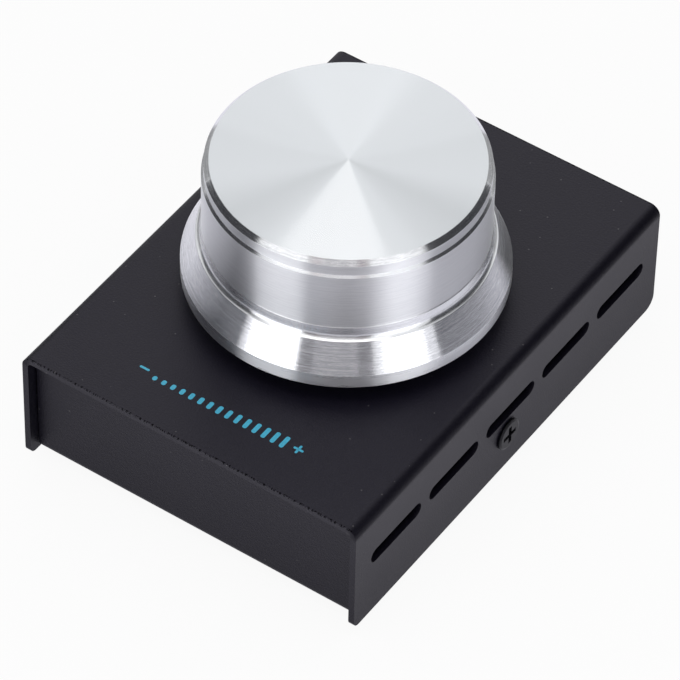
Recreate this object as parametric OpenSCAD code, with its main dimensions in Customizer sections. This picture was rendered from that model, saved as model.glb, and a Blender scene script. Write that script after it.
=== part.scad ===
// Desk volume control: a turned aluminium knob on a folded sheet-metal case.
// X runs along the front panel, Y from front to back, Z up. The origin is on the desk,
// under the middle of the case. All sizes are in millimetres.

/* [Case] */
// Length of the top cover, front to back
case_len = 94.5; // [78:0.5:130]
// Width over the side flanges
case_w = 70; // [58:0.5:100]
// Height of the cover over its side flanges
case_h = 24.5; // [21:0.5:40]
// Thickness of the folded sheet
sheet_t = 1.2; // [0.8:0.1:1.5]
// Outer radius of the cover's two long bends
cover_bend_r = 2.1; // [1.8:0.1:3]
// Outer radius of the chassis bends
chassis_bend_r = 1.7; // [1.6:0.1:3]
// Corner radius at the lower front ends of the side flanges
flange_front_corner_r = 1.5; // [0.5:0.1:5]
// Corner radius at their lower back ends
flange_back_corner_r = 2.5; // [0.5:0.1:5]
// Set-back of the front and back panels under the cover
panel_inset = 2; // [1:0.5:4]
// Gap between the chassis and the inside of the cover
chassis_gap = 0.3; // [0.1:0.1:0.6]
// Height of the chassis above the lower edge of the flanges
chassis_lift = 0.2; // [0:0.1:1]
// Height of the flanges' lower edge above the desk
rest_gap = 2; // [1.5:0.1:4]

/* [Vents] */
// Number of vent slots in each flange
vent_count = 5; // [1:1:8]
// Height of a slot
vent_h = 3; // [2:0.5:5]
// Height of the slots' centre line above the flange's lower edge
vent_z = 13.5; // [13:0.5:16]
// Web between two slots
vent_gap = 2.5; // [2:0.5:6]
// Distance from the end slots to the ends of the cover
vent_end_margin = 4.75; // [4:0.25:12]

/* [Fasteners] */
// Nominal diameter of every screw
screw_d = 3; // [2.5:0.5:3]
// Radial clearance of a screw in its threaded hole
thread_gap = 0.05; // [0.02:0.01:0.08]
// Radial clearance of a screw in a plain hole
screw_hole_gap = 0.15; // [0.1:0.05:0.3]
// Head diameter of the cover screws
cover_screw_head_d = 6.4; // [5.5:0.1:7]
// Head height of the cover screws
cover_screw_head_h = 0.65; // [0.6:0.05:1.4]
// Height of the cover screws above the flange's lower edge
cover_screw_z = 8; // [7:0.5:8]
// Place of the cover screws along the case, from the knob's axis towards the back
cover_screw_y = -0.7; // [-1.5:0.1:1.5]
// Length of the cover screws under the head
cover_screw_len = 6; // [5:1:8]
// Head diameter of the inner screws
inner_screw_head_d = 5.5; // [5:0.1:6]
// Head height of the inner screws
inner_screw_head_h = 1.3; // [1:0.1:1.4]
// Length of the inner screws under the head
inner_screw_len = 4.5; // [4:0.5:5]

/* [Feet] */
// Diameter of a rubber foot
foot_d = 9; // [6:0.5:10]
// Distance of the feet from the sides of the case
foot_side_margin = 8; // [7:0.5:9]
// Distance of the feet from the front and back panels
foot_end_margin = 10; // [8:0.5:10]

/* [Board] */
// Thickness of the circuit board
board_t = 1.6; // [1:0.1:1.6]
// Distance from the board's long edges to the sides of the case
board_side_gap = 11; // [9:0.5:12]
// Distance from the knob's axis to the front edge of the board
board_front = 20; // [18:0.5:25]
// Gap between the board and the back panel
board_back_gap = 0.35; // [0.2:0.05:1]
// Distance of the mounting holes from the board's edges
board_hole_margin = 4; // [3.5:0.5:5]
// Width across the flats of a standoff
standoff_af = 5; // [5:0.1:5.5]

/* [Encoder] */
// Width of the encoder's body
encoder_w = 11.7; // [11.7:0.1:13]
// Length of the encoder's body
encoder_l = 12; // [12:0.1:13]
// Height of the encoder's plastic base
encoder_base_h = 4.5; // [4.5:0.1:5]
// Thickness of the encoder's mounting plate
encoder_plate_t = 1.6; // [1.2:0.1:2]
// Thickness of the encoder's steel clip
encoder_clip_t = 0.4; // [0.3:0.1:0.5]
// Diameter of the shaft
shaft_d = 6; // [5:0.1:7.2]
// Length of the shaft above the mounting face
shaft_len = 20; // [18:0.5:22]
// Length of the flat on the shaft
shaft_flat_len = 11.5; // [8:0.5:11.5]
// Depth of the flat on the shaft
shaft_flat_depth = 1.5; // [0.5:0.1:1.5]
// Length of the threaded neck above the mounting face
neck_len = 7; // [6:0.5:8]
// Wall of the threaded neck
neck_wall = 0.45; // [0.4:0.05:0.8]
// Pitch of the neck's thread
neck_pitch = 0.75; // [0.5:0.05:1]
// Radial running clearance of the shaft
shaft_fit = 0.05; // [0.02:0.01:0.1]
// Travel of the knob when it is pressed
press_travel = 0.5; // [0.3:0.1:0.5]
// Number of clicks in one turn
detent_count = 20; // [12:1:24]
// Wall of the nut around the neck
nut_wall = 1.5; // [1.2:0.1:2]
// Thickness of the nut
nut_h = 2; // [1.5:0.1:2.5]
// Thickness of the washer
washer_t = 0.5; // [0.3:0.1:0.8]

/* [Knob] */
// Diameter of the knob's main band
knob_d = 50.4; // [42:0.2:62]
// Height of the knob
knob_h = 26.3; // [24:0.1:32]
// Gap between the knob and the top of the cover
knob_gap = 3.5; // [2:0.5:5]
// How far the skirt flares out beyond the main band
skirt_flare = 3.7; // [2.5:0.1:5]
// Height of the skirt's upright edge
skirt_edge_h = 2.9; // [1:0.1:3]
// Size of the chamfer at the top edge
top_chamfer = 0.9; // [0.5:0.1:2]
// Height of the ring between the chamfer and the V groove
top_band_h = 1.9; // [1:0.1:4]
// How much smaller in radius that ring is than the main band
top_ring_inset = 0.4; // [0:0.05:0.5]
// Height of the V groove
groove_h = 0.4; // [0.3:0.05:1]
// Depth of the V groove into the main band
groove_depth = 0.7; // [0.55:0.05:1]
// Height of the top of the skirt's cone, where the cove begins
cone_top = 8.6; // [6:0.1:9.5]
// Radius of the cove
cove_r = 1; // [0.8:0.1:1.5]
// Wall around the knob's hollow
knob_wall = 4.7; // [3:0.1:6]
// Thickness of the knob's top over the hollow
knob_top_t = 6.3; // [4:0.1:10]
// Radius of the boss in the middle of the hollow
hub_r = 9; // [8:0.5:10]
// Wall of the plastic insert around the shaft
insert_wall = 2.92; // [2:0.02:4]

/* [Socket] */
// Width of the socket's shell
usb_w = 8.94; // [8:0.02:10]
// Height of the socket's shell
usb_h = 3.26; // [3:0.02:4]
// Length of the socket's shell
usb_len = 7.35; // [6.5:0.05:9]
// Wall of the socket's shell
usb_wall = 0.3; // [0.2:0.05:0.4]
// Gap around the socket in the back panel
usb_panel_gap = 0.3; // [0.2:0.05:0.6]

/* [Hidden] */
$fn = 96;
eps = 0.01;
// How far a cut runs past the faces it opens
past = 1;

// Heights
chassis_z = rest_gap + chassis_lift;
floor_z = chassis_z + sheet_t;
cover_top_z = rest_gap + case_h;
mount_z = cover_top_z - sheet_t;
encoder_h = encoder_base_h + encoder_plate_t + encoder_clip_t;
board_top_z = mount_z - encoder_h;
board_z = board_top_z - board_t;
plate_z = board_top_z + encoder_base_h;
clip_top_z = plate_z + encoder_plate_t;
knob_z = cover_top_z + knob_gap;
shaft_top_z = mount_z + shaft_len;
neck_top_z = mount_z + neck_len;

// Chassis
chassis_w = case_w - 2 * sheet_t - 2 * chassis_gap;
chassis_len = case_len - 2 * panel_inset;
chassis_top_gap = 0.2;
panel_corner_r = 1.5;
chassis_h = mount_z - chassis_top_gap - chassis_z;
tab_len = 18;
tab_relief = 1;
tab_rim = 3.1;
tab_h = rest_gap + cover_screw_z + tab_rim - chassis_z;

// Screws
screw_r = screw_d / 2;
screw_hole_r = screw_r + screw_hole_gap;
thread_hole_r = screw_r + thread_gap;
head_rim_h = 0.45;
recess_w = 0.62;
recess_depth = 0.9;
recess_share = 0.55;
cover_screw_axis_z = rest_gap + cover_screw_z;

// Feet
foot_h = chassis_z;
foot_x = case_w / 2 - foot_side_margin;
foot_y = chassis_len / 2 - foot_end_margin;
foot_chamfer = 0.6;

// Vent slots
vent_len = (case_len - 2 * vent_end_margin - (vent_count - 1) * vent_gap) / vent_count;
vent_pitch = vent_len + vent_gap;

// Board
board_w = case_w - 2 * board_side_gap;
board_back = chassis_len / 2 - sheet_t - board_back_gap;
board_corner_r = 1.5;
hole_x = board_w / 2 - board_hole_margin;
hole_front_y = board_hole_margin - board_front;
hole_back_y = board_back - board_hole_margin;
standoff_h = board_z - floor_z;
BOARD_HOLES = [for (sx = [-1, 1]) for (y = [hole_front_y, hole_back_y]) [sx * hole_x, y]];

// Encoder, measured up from the board
encoder_corner_r = 0.5;
shaft_r = shaft_d / 2;
neck_r = shaft_r + shaft_fit + neck_wall;
neck_hole_gap = 0.1;
thread_depth = 0.3;
base_floor_t = 0.5;
track_z = board_top_z + 1.6;
track_t = 0.1;
pocket_r = 5.2;
rotor_z = board_top_z + 2.2;
rotor_h = 1.2;
rotor_r = pocket_r - 0.25;
rotor_top_z = rotor_z + rotor_h;
drive_r = shaft_r - 0.6;
drive_half = drive_r - 0.6;
drive_fit = 0.06;
drive_top_z = plate_z - 0.6;
wiper_t = 0.15;
wiper_gap = 0.03;
track_in_r = drive_r + 0.8;
track_ring_w = 0.45;
track_gap = 0.17;
dome_r = drive_r + 0.2;
dome_rise = 0.6;
dome_t = 0.1;
dome_pocket_r = dome_r + 0.15;
dome_z = board_top_z + base_floor_t;
shaft_end_z = dome_z + dome_rise + 0.05;
ring_t = 0.3;
ring_wall = 0.8;
ring_groove = 0.5;
ring_top_z = plate_z - 0.1;
ring_r = shaft_r + ring_wall;
spring_t = 0.15;
spring_in_r = ring_r + 0.3;
spring_out_r = pocket_r - 0.1;
detent_r = (spring_in_r + spring_out_r) / 2;
click_gap = 0.05;
notch_r = 0.22;
clip_w = 9;
clip_side_gap = 0.05;
strap_w = 5;
strap_x = encoder_w / 2 + clip_side_gap;
lug_w = 2;
lug_len = 2.4;
pin_w = 0.8;
pin_t = 0.4;
pin_len = 2.6;
pin_z = board_top_z + 0.6;
signal_pin_y = -7.5;
signal_pitch = 2.5;
switch_pin_y = 7;
switch_pitch = 5;
PINS = [for (i = [-1, 0, 1]) [i * signal_pitch, signal_pin_y],
        for (i = [-1, 1]) [i * switch_pitch / 2, switch_pin_y]];
pin_hole_r = 0.55;
slot_gap = 0.35;

// Nut and washer
nut_gap = 0.05;
nut_af = 2 * (neck_r + nut_wall);
nut_rounding = 0.45;
washer_margin = 0.75;
washer_r = neck_r + nut_wall + washer_margin;

// Knob
knob_r = knob_d / 2;
skirt_r = knob_r + skirt_flare;
cone_top_r = knob_r + cove_r;
cove_y = cone_top + cove_r;
line_z = cone_top + 2.4;
edge_break = 0.25;
line_h = 0.3;
line_depth = 0.15;
groove_top = knob_h - top_chamfer - top_band_h;
groove_mid = groove_top - groove_h / 2;
top_ring_r = knob_r - top_ring_inset;
hollow_r = knob_r - knob_wall;
hollow_top = knob_h - knob_top_t;
hollow_corner_r = 1.5;
hub_gap = 0.8;
hub_y = neck_top_z + press_travel + hub_gap - knob_z;
insert_fit = 0.05;
insert_grip = 0.03;
insert_r = shaft_r + insert_grip + insert_wall;
insert_top_z = shaft_top_z + 0.5;
insert_flange_t = 0.8;
insert_flange_w = 1;
insert_end_gap = 0.2;
insert_bore_top = insert_top_z + insert_end_gap - knob_z;

// Socket
usb_r = usb_h / 2;
usb_mouth_y = chassis_len / 2;
usb_rear_y = usb_mouth_y - usb_len;
usb_z = board_top_z + usb_r;
usb_tongue_w = 6.69;
usb_tongue_t = 0.7;
usb_tongue_back = 0.3;
usb_block_len = 2.6;
usb_block_gap = 0.02;
usb_pitch = 0.5;
usb_contact_w = 0.25;
usb_contact_t = 0.05;
usb_contact_len = 3.6;
usb_tip_len = 0.5;
usb_tail_len = 1;
usb_legs_y = [usb_rear_y + 1.3, usb_rear_y + 4.6];
usb_leg_len = 1;
usb_leg_t = 0.3;
usb_leg_x = usb_w / 2 - usb_leg_t / 2;
USB_LEGS = [for (sx = [-1, 1]) for (y = usb_legs_y) [sx * usb_leg_x, y]];

// Parts on the board, placed from the knob's axis: [x, y, turn]
chip_place = [-11.5, 16];
chip_side = 7;
chip_h = 1.2;
chip_lift = 0.15;
lead_count = 8;
lead_pitch = 0.8;
lead_w = 0.35;
lead_t = 0.15;
lead_reach = 1;
crystal_place = [-11.5, 25.5];
crystal_len = 11;
crystal_w = 4.4;
crystal_h = 3.2;
crystal_pins = 4.88;
crystal_pin_r = 0.22;
CRYSTAL_PINS = [for (s = [-1, 1]) crystal_place + [s * crystal_pins / 2, 0]];
bulk_place = [11.5, 17];
bulk_r = 2.5;
bulk_h = 5;
regulator_place = [12.5, 25.5];
CAPS = [[-4.5, 13.5, 90], [-4.5, 17.5, 90], [-11.5, 21.6, 0], [5.5, 21, 90], [5.5, 25, 90],
        [12.5, 11.2, 0]];
RESISTORS = [[-12, -12, 0], [-8, -12, 0], [8, -12, 0], [12, -12, 0], [-12, -15.5, 0], [-8, -15.5, 0],
             [6.5, 13.5, 90], [-13, 10, 0]];
chip_part_len = 2;
chip_part_w = 1.25;
cap_h = 0.9;
resistor_h = 0.5;

// ---- Shared shapes ----

// Folded section with its web on top: w wide, h high, outer bend radius r
module fold_outline(w, h, r) {
    translate([-w / 2, 0]) square([w, h - r]);
    translate([-w / 2 + r, 0]) square([w - 2 * r, h]);
    for (s = [-1, 1]) translate([s * (w / 2 - r), h - r]) circle(r);
}

module fold_section(w, h, r) {
    difference() {
        fold_outline(w, h, r);
        translate([0, -eps]) fold_outline(w - 2 * sheet_t, h - sheet_t + eps, r - sheet_t);
    }
}

// The same section with its web at the bottom
module tray_section(w, h, r) {
    translate([0, h]) mirror([0, 1]) fold_section(w, h, r);
}

// Slot or shell outline with round ends, centred
module stadium(w, h) {
    square([w - h, h], center = true);
    for (s = [-1, 1]) translate([s * (w - h) / 2, 0]) circle(h / 2);
}

// Rectangle with round corners, centred
module round_rect(w, h, r) {
    square([w - 2 * r, h], center = true);
    square([w, h - 2 * r], center = true);
    for (sx = [-1, 1]) for (sy = [-1, 1]) translate([sx * (w / 2 - r), sy * (h / 2 - r)]) circle(r);
}

// Removes the square corner outside a quarter round, along X
module corner_cut(r, width) {
    rotate([90, 0, 90]) translate([0, 0, -width / 2]) linear_extrude(width)
        difference() {
            translate([-eps, -eps]) square(r + eps);
            translate([r, r]) circle(r);
        }
}

// Screw with a low domed head, its head on +Z and its seat at z = 0
module screw(head_d, head_h, len) {
    dome_h = head_h - head_rim_h;
    ball_r = (pow(head_d / 2, 2) + pow(dome_h, 2)) / (2 * dome_h);
    difference() {
        union() {
            rotate_extrude() intersection() {
                square([head_d / 2, head_h]);
                translate([0, head_h - ball_r]) circle(ball_r);
            }
            translate([0, 0, -len]) cylinder(r = screw_r, h = len + head_rim_h / 2);
        }
        for (a = [0, 90]) rotate(a)
            translate([0, 0, head_h - recess_depth / 2 + eps])
                cube([head_d * recess_share, recess_w, recess_depth + 2 * eps], center = true);
    }
}

// Shaft outline with one flat, cut at a distance from the axis
module flat_outline(r, flat) {
    difference() {
        circle(r);
        translate([-r, flat]) square([2 * r, r]);
    }
}

// Shaft outline with two flats
module drive_outline(r, half) {
    intersection() {
        circle(r);
        square([2 * r, 2 * half], center = true);
    }
}

module on_board(place) {
    translate([place[0], place[1], board_top_z]) rotate(len(place) > 2 ? place[2] : 0) children();
}

// ---- Case ----

module top_cover() {
    color([0.13, 0.13, 0.14]) difference() {
        translate([0, case_len / 2, rest_gap]) rotate([90, 0, 0])
            linear_extrude(case_len) fold_section(case_w, case_h, cover_bend_r);
        // round lower corners of the flanges
        for (s = [0, 1]) mirror([0, s, 0]) translate([0, -case_len / 2, rest_gap])
            corner_cut(s == 0 ? flange_front_corner_r : flange_back_corner_r, case_w + 2 * past);
        // vent slots through both flanges
        for (i = [0 : vent_count - 1])
            translate([0, (i - (vent_count - 1) / 2) * vent_pitch, rest_gap + vent_z])
                rotate([90, 0, 90]) translate([0, 0, -case_w / 2 - past])
                    linear_extrude(case_w + 2 * past) stadium(vent_len, vent_h);
        // screw holes
        translate([0, cover_screw_y, cover_screw_axis_z]) rotate([0, 90, 0])
            cylinder(r = screw_hole_r, h = case_w + 2 * past, center = true);
        // hole for the encoder's neck
        translate([0, 0, mount_z - past]) cylinder(r = neck_r + neck_hole_gap, h = sheet_t + 2 * past);
    }
}

module chassis() {
    color([0.15, 0.15, 0.16]) difference() {
        union() {
            difference() {
                translate([-chassis_w / 2, 0, chassis_z]) rotate([90, 0, 90])
                    linear_extrude(chassis_w) tray_section(chassis_len, chassis_h, chassis_bend_r);
                // rounded upper corners of the panels
                translate([0, chassis_len / 2 + past, chassis_z]) rotate([90, 0, 0])
                    linear_extrude(chassis_len + 2 * past) difference() {
                        translate([-chassis_w / 2 - past, chassis_h - panel_corner_r])
                            square([chassis_w + 2 * past, panel_corner_r + past]);
                        fold_outline(chassis_w, chassis_h, panel_corner_r);
                    }
                // room for the side tabs and the relief cuts beside their bends
                for (s = [-1, 1]) translate([s * chassis_w / 2, 0, chassis_z])
                    cube([2 * chassis_bend_r, tab_len + 2 * tab_relief, 4 * sheet_t], center = true);
            }
            translate([0, tab_len / 2, chassis_z]) rotate([90, 0, 0])
                linear_extrude(tab_len) tray_section(chassis_w, tab_h, chassis_bend_r);
        }
        // tapped holes in the side tabs
        translate([0, cover_screw_y, cover_screw_axis_z]) rotate([0, 90, 0])
            cylinder(r = thread_hole_r, h = chassis_w + 2 * past, center = true);
        // screw holes under the standoffs
        for (p = BOARD_HOLES) translate([p[0], p[1], chassis_z - past])
            cylinder(r = screw_hole_r, h = sheet_t + 2 * past);
        // opening for the socket
        translate([0, usb_mouth_y + past, usb_z]) rotate([90, 0, 0])
            linear_extrude(sheet_t + 2 * past)
                stadium(usb_w + 2 * usb_panel_gap, usb_h + 2 * usb_panel_gap);
    }
}

module cover_screws() {
    color([0.12, 0.12, 0.13]) for (s = [-1, 1])
        translate([s * case_w / 2, cover_screw_y, cover_screw_axis_z]) rotate([0, s * 90, 0])
            screw(cover_screw_head_d, cover_screw_head_h, cover_screw_len);
}

module rubber_feet() {
    foot_r = foot_d / 2;
    color([0.08, 0.08, 0.08]) for (sx = [-1, 1]) for (sy = [-1, 1])
        translate([sx * foot_x, sy * foot_y, 0]) rotate_extrude() polygon([
            [0, 0], [foot_r - foot_chamfer, 0], [foot_r, foot_chamfer], [foot_r, foot_h], [0, foot_h]
        ]);
}

// ---- Board ----

module circuit_board() {
    color([0.05, 0.32, 0.16]) difference() {
        translate([0, (board_back - board_front) / 2, board_z]) linear_extrude(board_t)
            round_rect(board_w, board_front + board_back, board_corner_r);
        for (p = BOARD_HOLES) translate([p[0], p[1], board_z - past])
            cylinder(r = screw_hole_r, h = board_t + 2 * past);
        for (p = [each PINS, each CRYSTAL_PINS]) translate([p[0], p[1], board_z - past])
            cylinder(r = pin_hole_r, h = board_t + 2 * past);
        // slots for the encoder's lugs
        for (s = [-1, 1]) translate([s * (strap_x + encoder_clip_t / 2), 0, board_z + board_t / 2])
            cube([encoder_clip_t + slot_gap, lug_w + slot_gap, board_t + 2 * past], center = true);
        // slots for the socket's legs
        for (p = USB_LEGS) translate([p[0], p[1], board_z + board_t / 2])
            cube([usb_leg_t + slot_gap, usb_leg_len + slot_gap, board_t + 2 * past], center = true);
    }
}

module board_standoffs() {
    color([0.78, 0.66, 0.36]) for (p = BOARD_HOLES) translate([p[0], p[1], floor_z]) difference() {
        cylinder(d = standoff_af / cos(30), h = standoff_h, $fn = 6);
        translate([0, 0, -past]) cylinder(r = thread_hole_r, h = standoff_h + 2 * past);
    }
}

module board_screws() {
    color([0.75, 0.75, 0.76]) for (p = BOARD_HOLES) translate([p[0], p[1], board_top_z])
        screw(inner_screw_head_d, inner_screw_head_h, inner_screw_len);
}

module standoff_screws() {
    color([0.75, 0.75, 0.76]) for (p = BOARD_HOLES) translate([p[0], p[1], chassis_z])
        rotate([180, 0, 0]) screw(inner_screw_head_d, inner_screw_head_h, inner_screw_len);
}

// ---- Encoder ----

module encoder_base() {
    color([0.1, 0.1, 0.1]) difference() {
        translate([0, 0, board_top_z]) linear_extrude(encoder_base_h)
            round_rect(encoder_w, encoder_l, encoder_corner_r);
        translate([0, 0, track_z]) cylinder(r = pocket_r, h = encoder_base_h);
        translate([0, 0, dome_z]) cylinder(r = dome_pocket_r, h = encoder_base_h);
    }
}

module encoder_bushing() {
    crests = floor((neck_len - sheet_t) / neck_pitch);
    color([0.7, 0.7, 0.68]) difference() {
        union() {
            translate([0, 0, plate_z]) linear_extrude(encoder_plate_t)
                round_rect(encoder_w, encoder_l, encoder_corner_r);
            translate([0, 0, plate_z]) cylinder(r = neck_r, h = neck_top_z - plate_z);
        }
        translate([0, 0, plate_z - past])
            cylinder(r = shaft_r + shaft_fit, h = neck_top_z - plate_z + 2 * past);
        // thread, as rings one pitch apart
        for (i = [1 : crests]) translate([0, 0, neck_top_z - i * neck_pitch + neck_pitch / 2])
            rotate_extrude() polygon([[neck_r + eps, -thread_depth], [neck_r + eps, thread_depth],
                                      [neck_r - thread_depth, 0]]);
    }
}

module encoder_clip() {
    color([0.72, 0.72, 0.72]) {
        difference() {
            translate([0, 0, clip_top_z + encoder_clip_t / 2])
                cube([2 * (strap_x + encoder_clip_t), clip_w, encoder_clip_t], center = true);
            translate([0, 0, clip_top_z - past])
                cylinder(r = neck_r + neck_hole_gap, h = encoder_clip_t + 2 * past);
        }
        for (s = [-1, 1]) translate([s * (strap_x + encoder_clip_t / 2), 0, 0]) {
            translate([-encoder_clip_t / 2, -strap_w / 2, board_top_z])
                cube([encoder_clip_t, strap_w, encoder_h]);
            translate([-encoder_clip_t / 2, -lug_w / 2, board_top_z - lug_len])
                cube([encoder_clip_t, lug_w, lug_len + encoder_clip_t]);
        }
    }
}

module encoder_terminals() {
    color([0.8, 0.8, 0.78]) for (p = PINS) {
        side = sign(p[1]);
        out = abs(p[1]) - encoder_l / 2;
        translate([p[0], side * encoder_l / 2, 0]) mirror([0, side < 0 ? 1 : 0, 0]) {
            translate([-pin_w / 2, 0, pin_z]) cube([pin_w, out + pin_t / 2, pin_t]);
            translate([-pin_w / 2, out - pin_t / 2, board_top_z - pin_len])
                cube([pin_w, pin_t, pin_len + pin_z + pin_t - board_top_z]);
        }
    }
}

module contact_track() {
    pad_in_r = track_in_r + track_ring_w + track_gap;
    pad_out_r = pocket_r - track_gap;
    pad_angle = 360 / detent_count / 2;
    color([0.85, 0.75, 0.45]) {
        translate([0, 0, track_z]) difference() {
            cylinder(r = track_in_r + track_ring_w, h = track_t);
            translate([0, 0, -past]) cylinder(r = track_in_r, h = 2 * past);
        }
        for (i = [0 : detent_count - 1]) rotate(i * 360 / detent_count) translate([0, 0, track_z])
            rotate_extrude(angle = pad_angle) translate([pad_in_r, 0])
                square([pad_out_r - pad_in_r, track_t]);
    }
}

module encoder_rotor() {
    color([0.85, 0.84, 0.8]) difference() {
        translate([0, 0, rotor_z]) cylinder(r = rotor_r, h = rotor_h);
        translate([0, 0, rotor_z - past]) linear_extrude(rotor_h + 2 * past)
            drive_outline(drive_r + drive_fit, drive_half + drive_fit);
        // click notches
        for (i = [0 : detent_count - 1]) rotate(i * 360 / detent_count)
            translate([spring_in_r, 0, rotor_top_z]) rotate([0, 90, 0])
                cylinder(r = notch_r, h = rotor_r);
    }
}

module rotor_wiper() {
    wiper_z = rotor_z - wiper_t;
    brush_z = track_z + track_t + wiper_gap;
    brush_r = 0.2;
    disc_margin = 0.2;
    pad_middle = (track_in_r + track_ring_w + pocket_r) / 2;
    ring_middle = track_in_r + track_ring_w / 2;
    color([0.83, 0.72, 0.4]) {
        translate([0, 0, wiper_z]) difference() {
            cylinder(r = rotor_r - disc_margin, h = wiper_t);
            translate([0, 0, -past]) cylinder(r = track_in_r, h = 2 * past);
        }
        for (i = [0 : 2]) rotate(i * 120) translate([pad_middle, 0, brush_z])
            cylinder(r = brush_r, h = wiper_z - brush_z + wiper_t / 2);
        rotate(60) translate([ring_middle, 0, brush_z])
            cylinder(r = brush_r, h = wiper_z - brush_z + wiper_t / 2);
    }
}

module detent_spring() {
    color([0.75, 0.76, 0.78]) {
        translate([0, 0, plate_z - spring_t]) difference() {
            cylinder(r = spring_out_r, h = spring_t);
            translate([0, 0, -past]) cylinder(r = spring_in_r, h = 2 * past);
        }
        for (s = [-1, 1]) translate([s * detent_r, 0, rotor_top_z + click_gap])
            cylinder(r = notch_r, h = plate_z - rotor_top_z - click_gap - spring_t / 2);
    }
}

module encoder_shaft() {
    color([0.8, 0.8, 0.8]) difference() {
        union() {
            translate([0, 0, shaft_end_z]) linear_extrude(drive_top_z - shaft_end_z + eps)
                drive_outline(drive_r, drive_half);
            translate([0, 0, drive_top_z]) cylinder(r = shaft_r, h = shaft_top_z - drive_top_z);
        }
        // groove for the retaining ring
        translate([0, 0, ring_top_z - ring_t]) difference() {
            cylinder(r = shaft_r + past, h = ring_t);
            translate([0, 0, -past]) cylinder(r = shaft_r - ring_groove, h = ring_t + 2 * past);
        }
        // flat for the knob
        translate([-shaft_r, shaft_r - shaft_flat_depth, shaft_top_z - shaft_flat_len])
            cube([2 * shaft_r, shaft_r, shaft_flat_len + past]);
    }
}

module shaft_ring() {
    opening = 2;
    ring_fit = 0.02;
    color([0.6, 0.6, 0.62]) translate([0, 0, ring_top_z - ring_t]) difference() {
        cylinder(r = ring_r, h = ring_t);
        translate([0, 0, -past]) cylinder(r = shaft_r - ring_groove + ring_fit, h = 2 * past);
        translate([0, -opening / 2, -past]) cube([ring_r + past, opening, 2 * past]);
    }
}

module switch_dome() {
    ball_r = (pow(dome_r, 2) + pow(dome_rise, 2)) / (2 * dome_rise);
    color([0.82, 0.82, 0.8]) translate([0, 0, dome_z]) rotate_extrude() intersection() {
        square([dome_r, dome_rise]);
        translate([0, dome_rise - ball_r]) difference() {
            circle(ball_r);
            circle(ball_r - dome_t);
        }
    }
}

module bushing_washer() {
    color([0.76, 0.76, 0.77]) translate([0, 0, cover_top_z]) difference() {
        cylinder(r = washer_r, h = washer_t);
        translate([0, 0, -past]) cylinder(r = neck_r + neck_hole_gap, h = washer_t + 2 * past);
    }
}

module bushing_nut() {
    color([0.76, 0.76, 0.77]) translate([0, 0, cover_top_z + washer_t]) difference() {
        intersection() {
            cylinder(d = nut_af / cos(30), h = nut_h, $fn = 6);
            // rounded upper corners
            translate([0, 0, -past]) cylinder(r = nut_af / 2 + nut_rounding, h = nut_h + 2 * past);
        }
        translate([0, 0, -past]) cylinder(r = neck_r + nut_gap, h = nut_h + 2 * past);
    }
}

// ---- Knob ----

module knob_outline() {
    difference() {
        polygon([
            [0, 0],
            [skirt_r - edge_break, 0],
            [skirt_r, edge_break],
            [skirt_r, skirt_edge_h],
            [cone_top_r, cone_top],
            [knob_r, cone_top],
            [knob_r, groove_mid],
            [top_ring_r, groove_mid],
            [top_ring_r, knob_h - top_chamfer],
            [top_ring_r - top_chamfer, knob_h],
            [0, knob_h]
        ]);
        // V groove under the top ring
        polygon([[top_ring_r + eps, groove_top + eps], [knob_r - groove_depth, groove_mid],
                 [knob_r + eps, groove_top - groove_h - eps], [knob_r + eps, groove_top + eps]]);
        // fine line above the cove
        polygon([[knob_r + eps, line_z + line_h], [knob_r - line_depth, line_z + line_h / 2],
                 [knob_r + eps, line_z]]);
    }
    // cove between the cone and the band
    difference() {
        translate([knob_r - eps, cone_top - eps]) square([cove_r + eps, cove_r + eps]);
        translate([cone_top_r, cove_y]) circle(cove_r);
    }
}

module knob_hollow() {
    difference() {
        union() {
            translate([0, -past]) square([hollow_r, hollow_top - hollow_corner_r + past]);
            translate([0, -past]) square([hollow_r - hollow_corner_r, hollow_top + past]);
            translate([hollow_r - hollow_corner_r, hollow_top - hollow_corner_r]) circle(hollow_corner_r);
        }
        translate([0, hub_y]) square([hub_r, knob_h]);
    }
}

module knob() {
    color([0.8, 0.81, 0.82]) translate([0, 0, knob_z]) difference() {
        rotate_extrude() difference() {
            knob_outline();
            knob_hollow();
        }
        translate([0, 0, -past]) cylinder(r = insert_r + insert_fit, h = insert_bore_top + past);
    }
}

module knob_insert() {
    seat_z = knob_z + hub_y;
    low_z = seat_z - insert_flange_t;
    flat_z = shaft_top_z - shaft_flat_len;
    color([0.16, 0.16, 0.17]) difference() {
        union() {
            translate([0, 0, seat_z]) cylinder(r = insert_r, h = insert_top_z - seat_z);
            translate([0, 0, low_z]) cylinder(r = insert_r + insert_flange_w, h = insert_flange_t);
        }
        // D-shaped hole for the shaft
        translate([0, 0, flat_z]) linear_extrude(insert_top_z - flat_z + past)
            flat_outline(shaft_r + insert_grip, shaft_r - shaft_flat_depth + insert_grip);
        translate([0, 0, low_z - past]) cylinder(r = shaft_r + insert_grip, h = flat_z - low_z + past);
    }
}

// ---- Socket ----

module usb_shell() {
    color([0.78, 0.79, 0.8]) {
        difference() {
            translate([0, usb_mouth_y, usb_z]) rotate([90, 0, 0]) linear_extrude(usb_len)
                stadium(usb_w, usb_h);
            translate([0, usb_mouth_y + past, usb_z]) rotate([90, 0, 0])
                linear_extrude(usb_len + 2 * past)
                    stadium(usb_w - 2 * usb_wall, usb_h - 2 * usb_wall);
        }
        for (p = USB_LEGS) translate([p[0] - usb_leg_t / 2, p[1] - usb_leg_len / 2, board_top_z - lug_len])
            cube([usb_leg_t, usb_leg_len, lug_len + usb_r]);
    }
}

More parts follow.
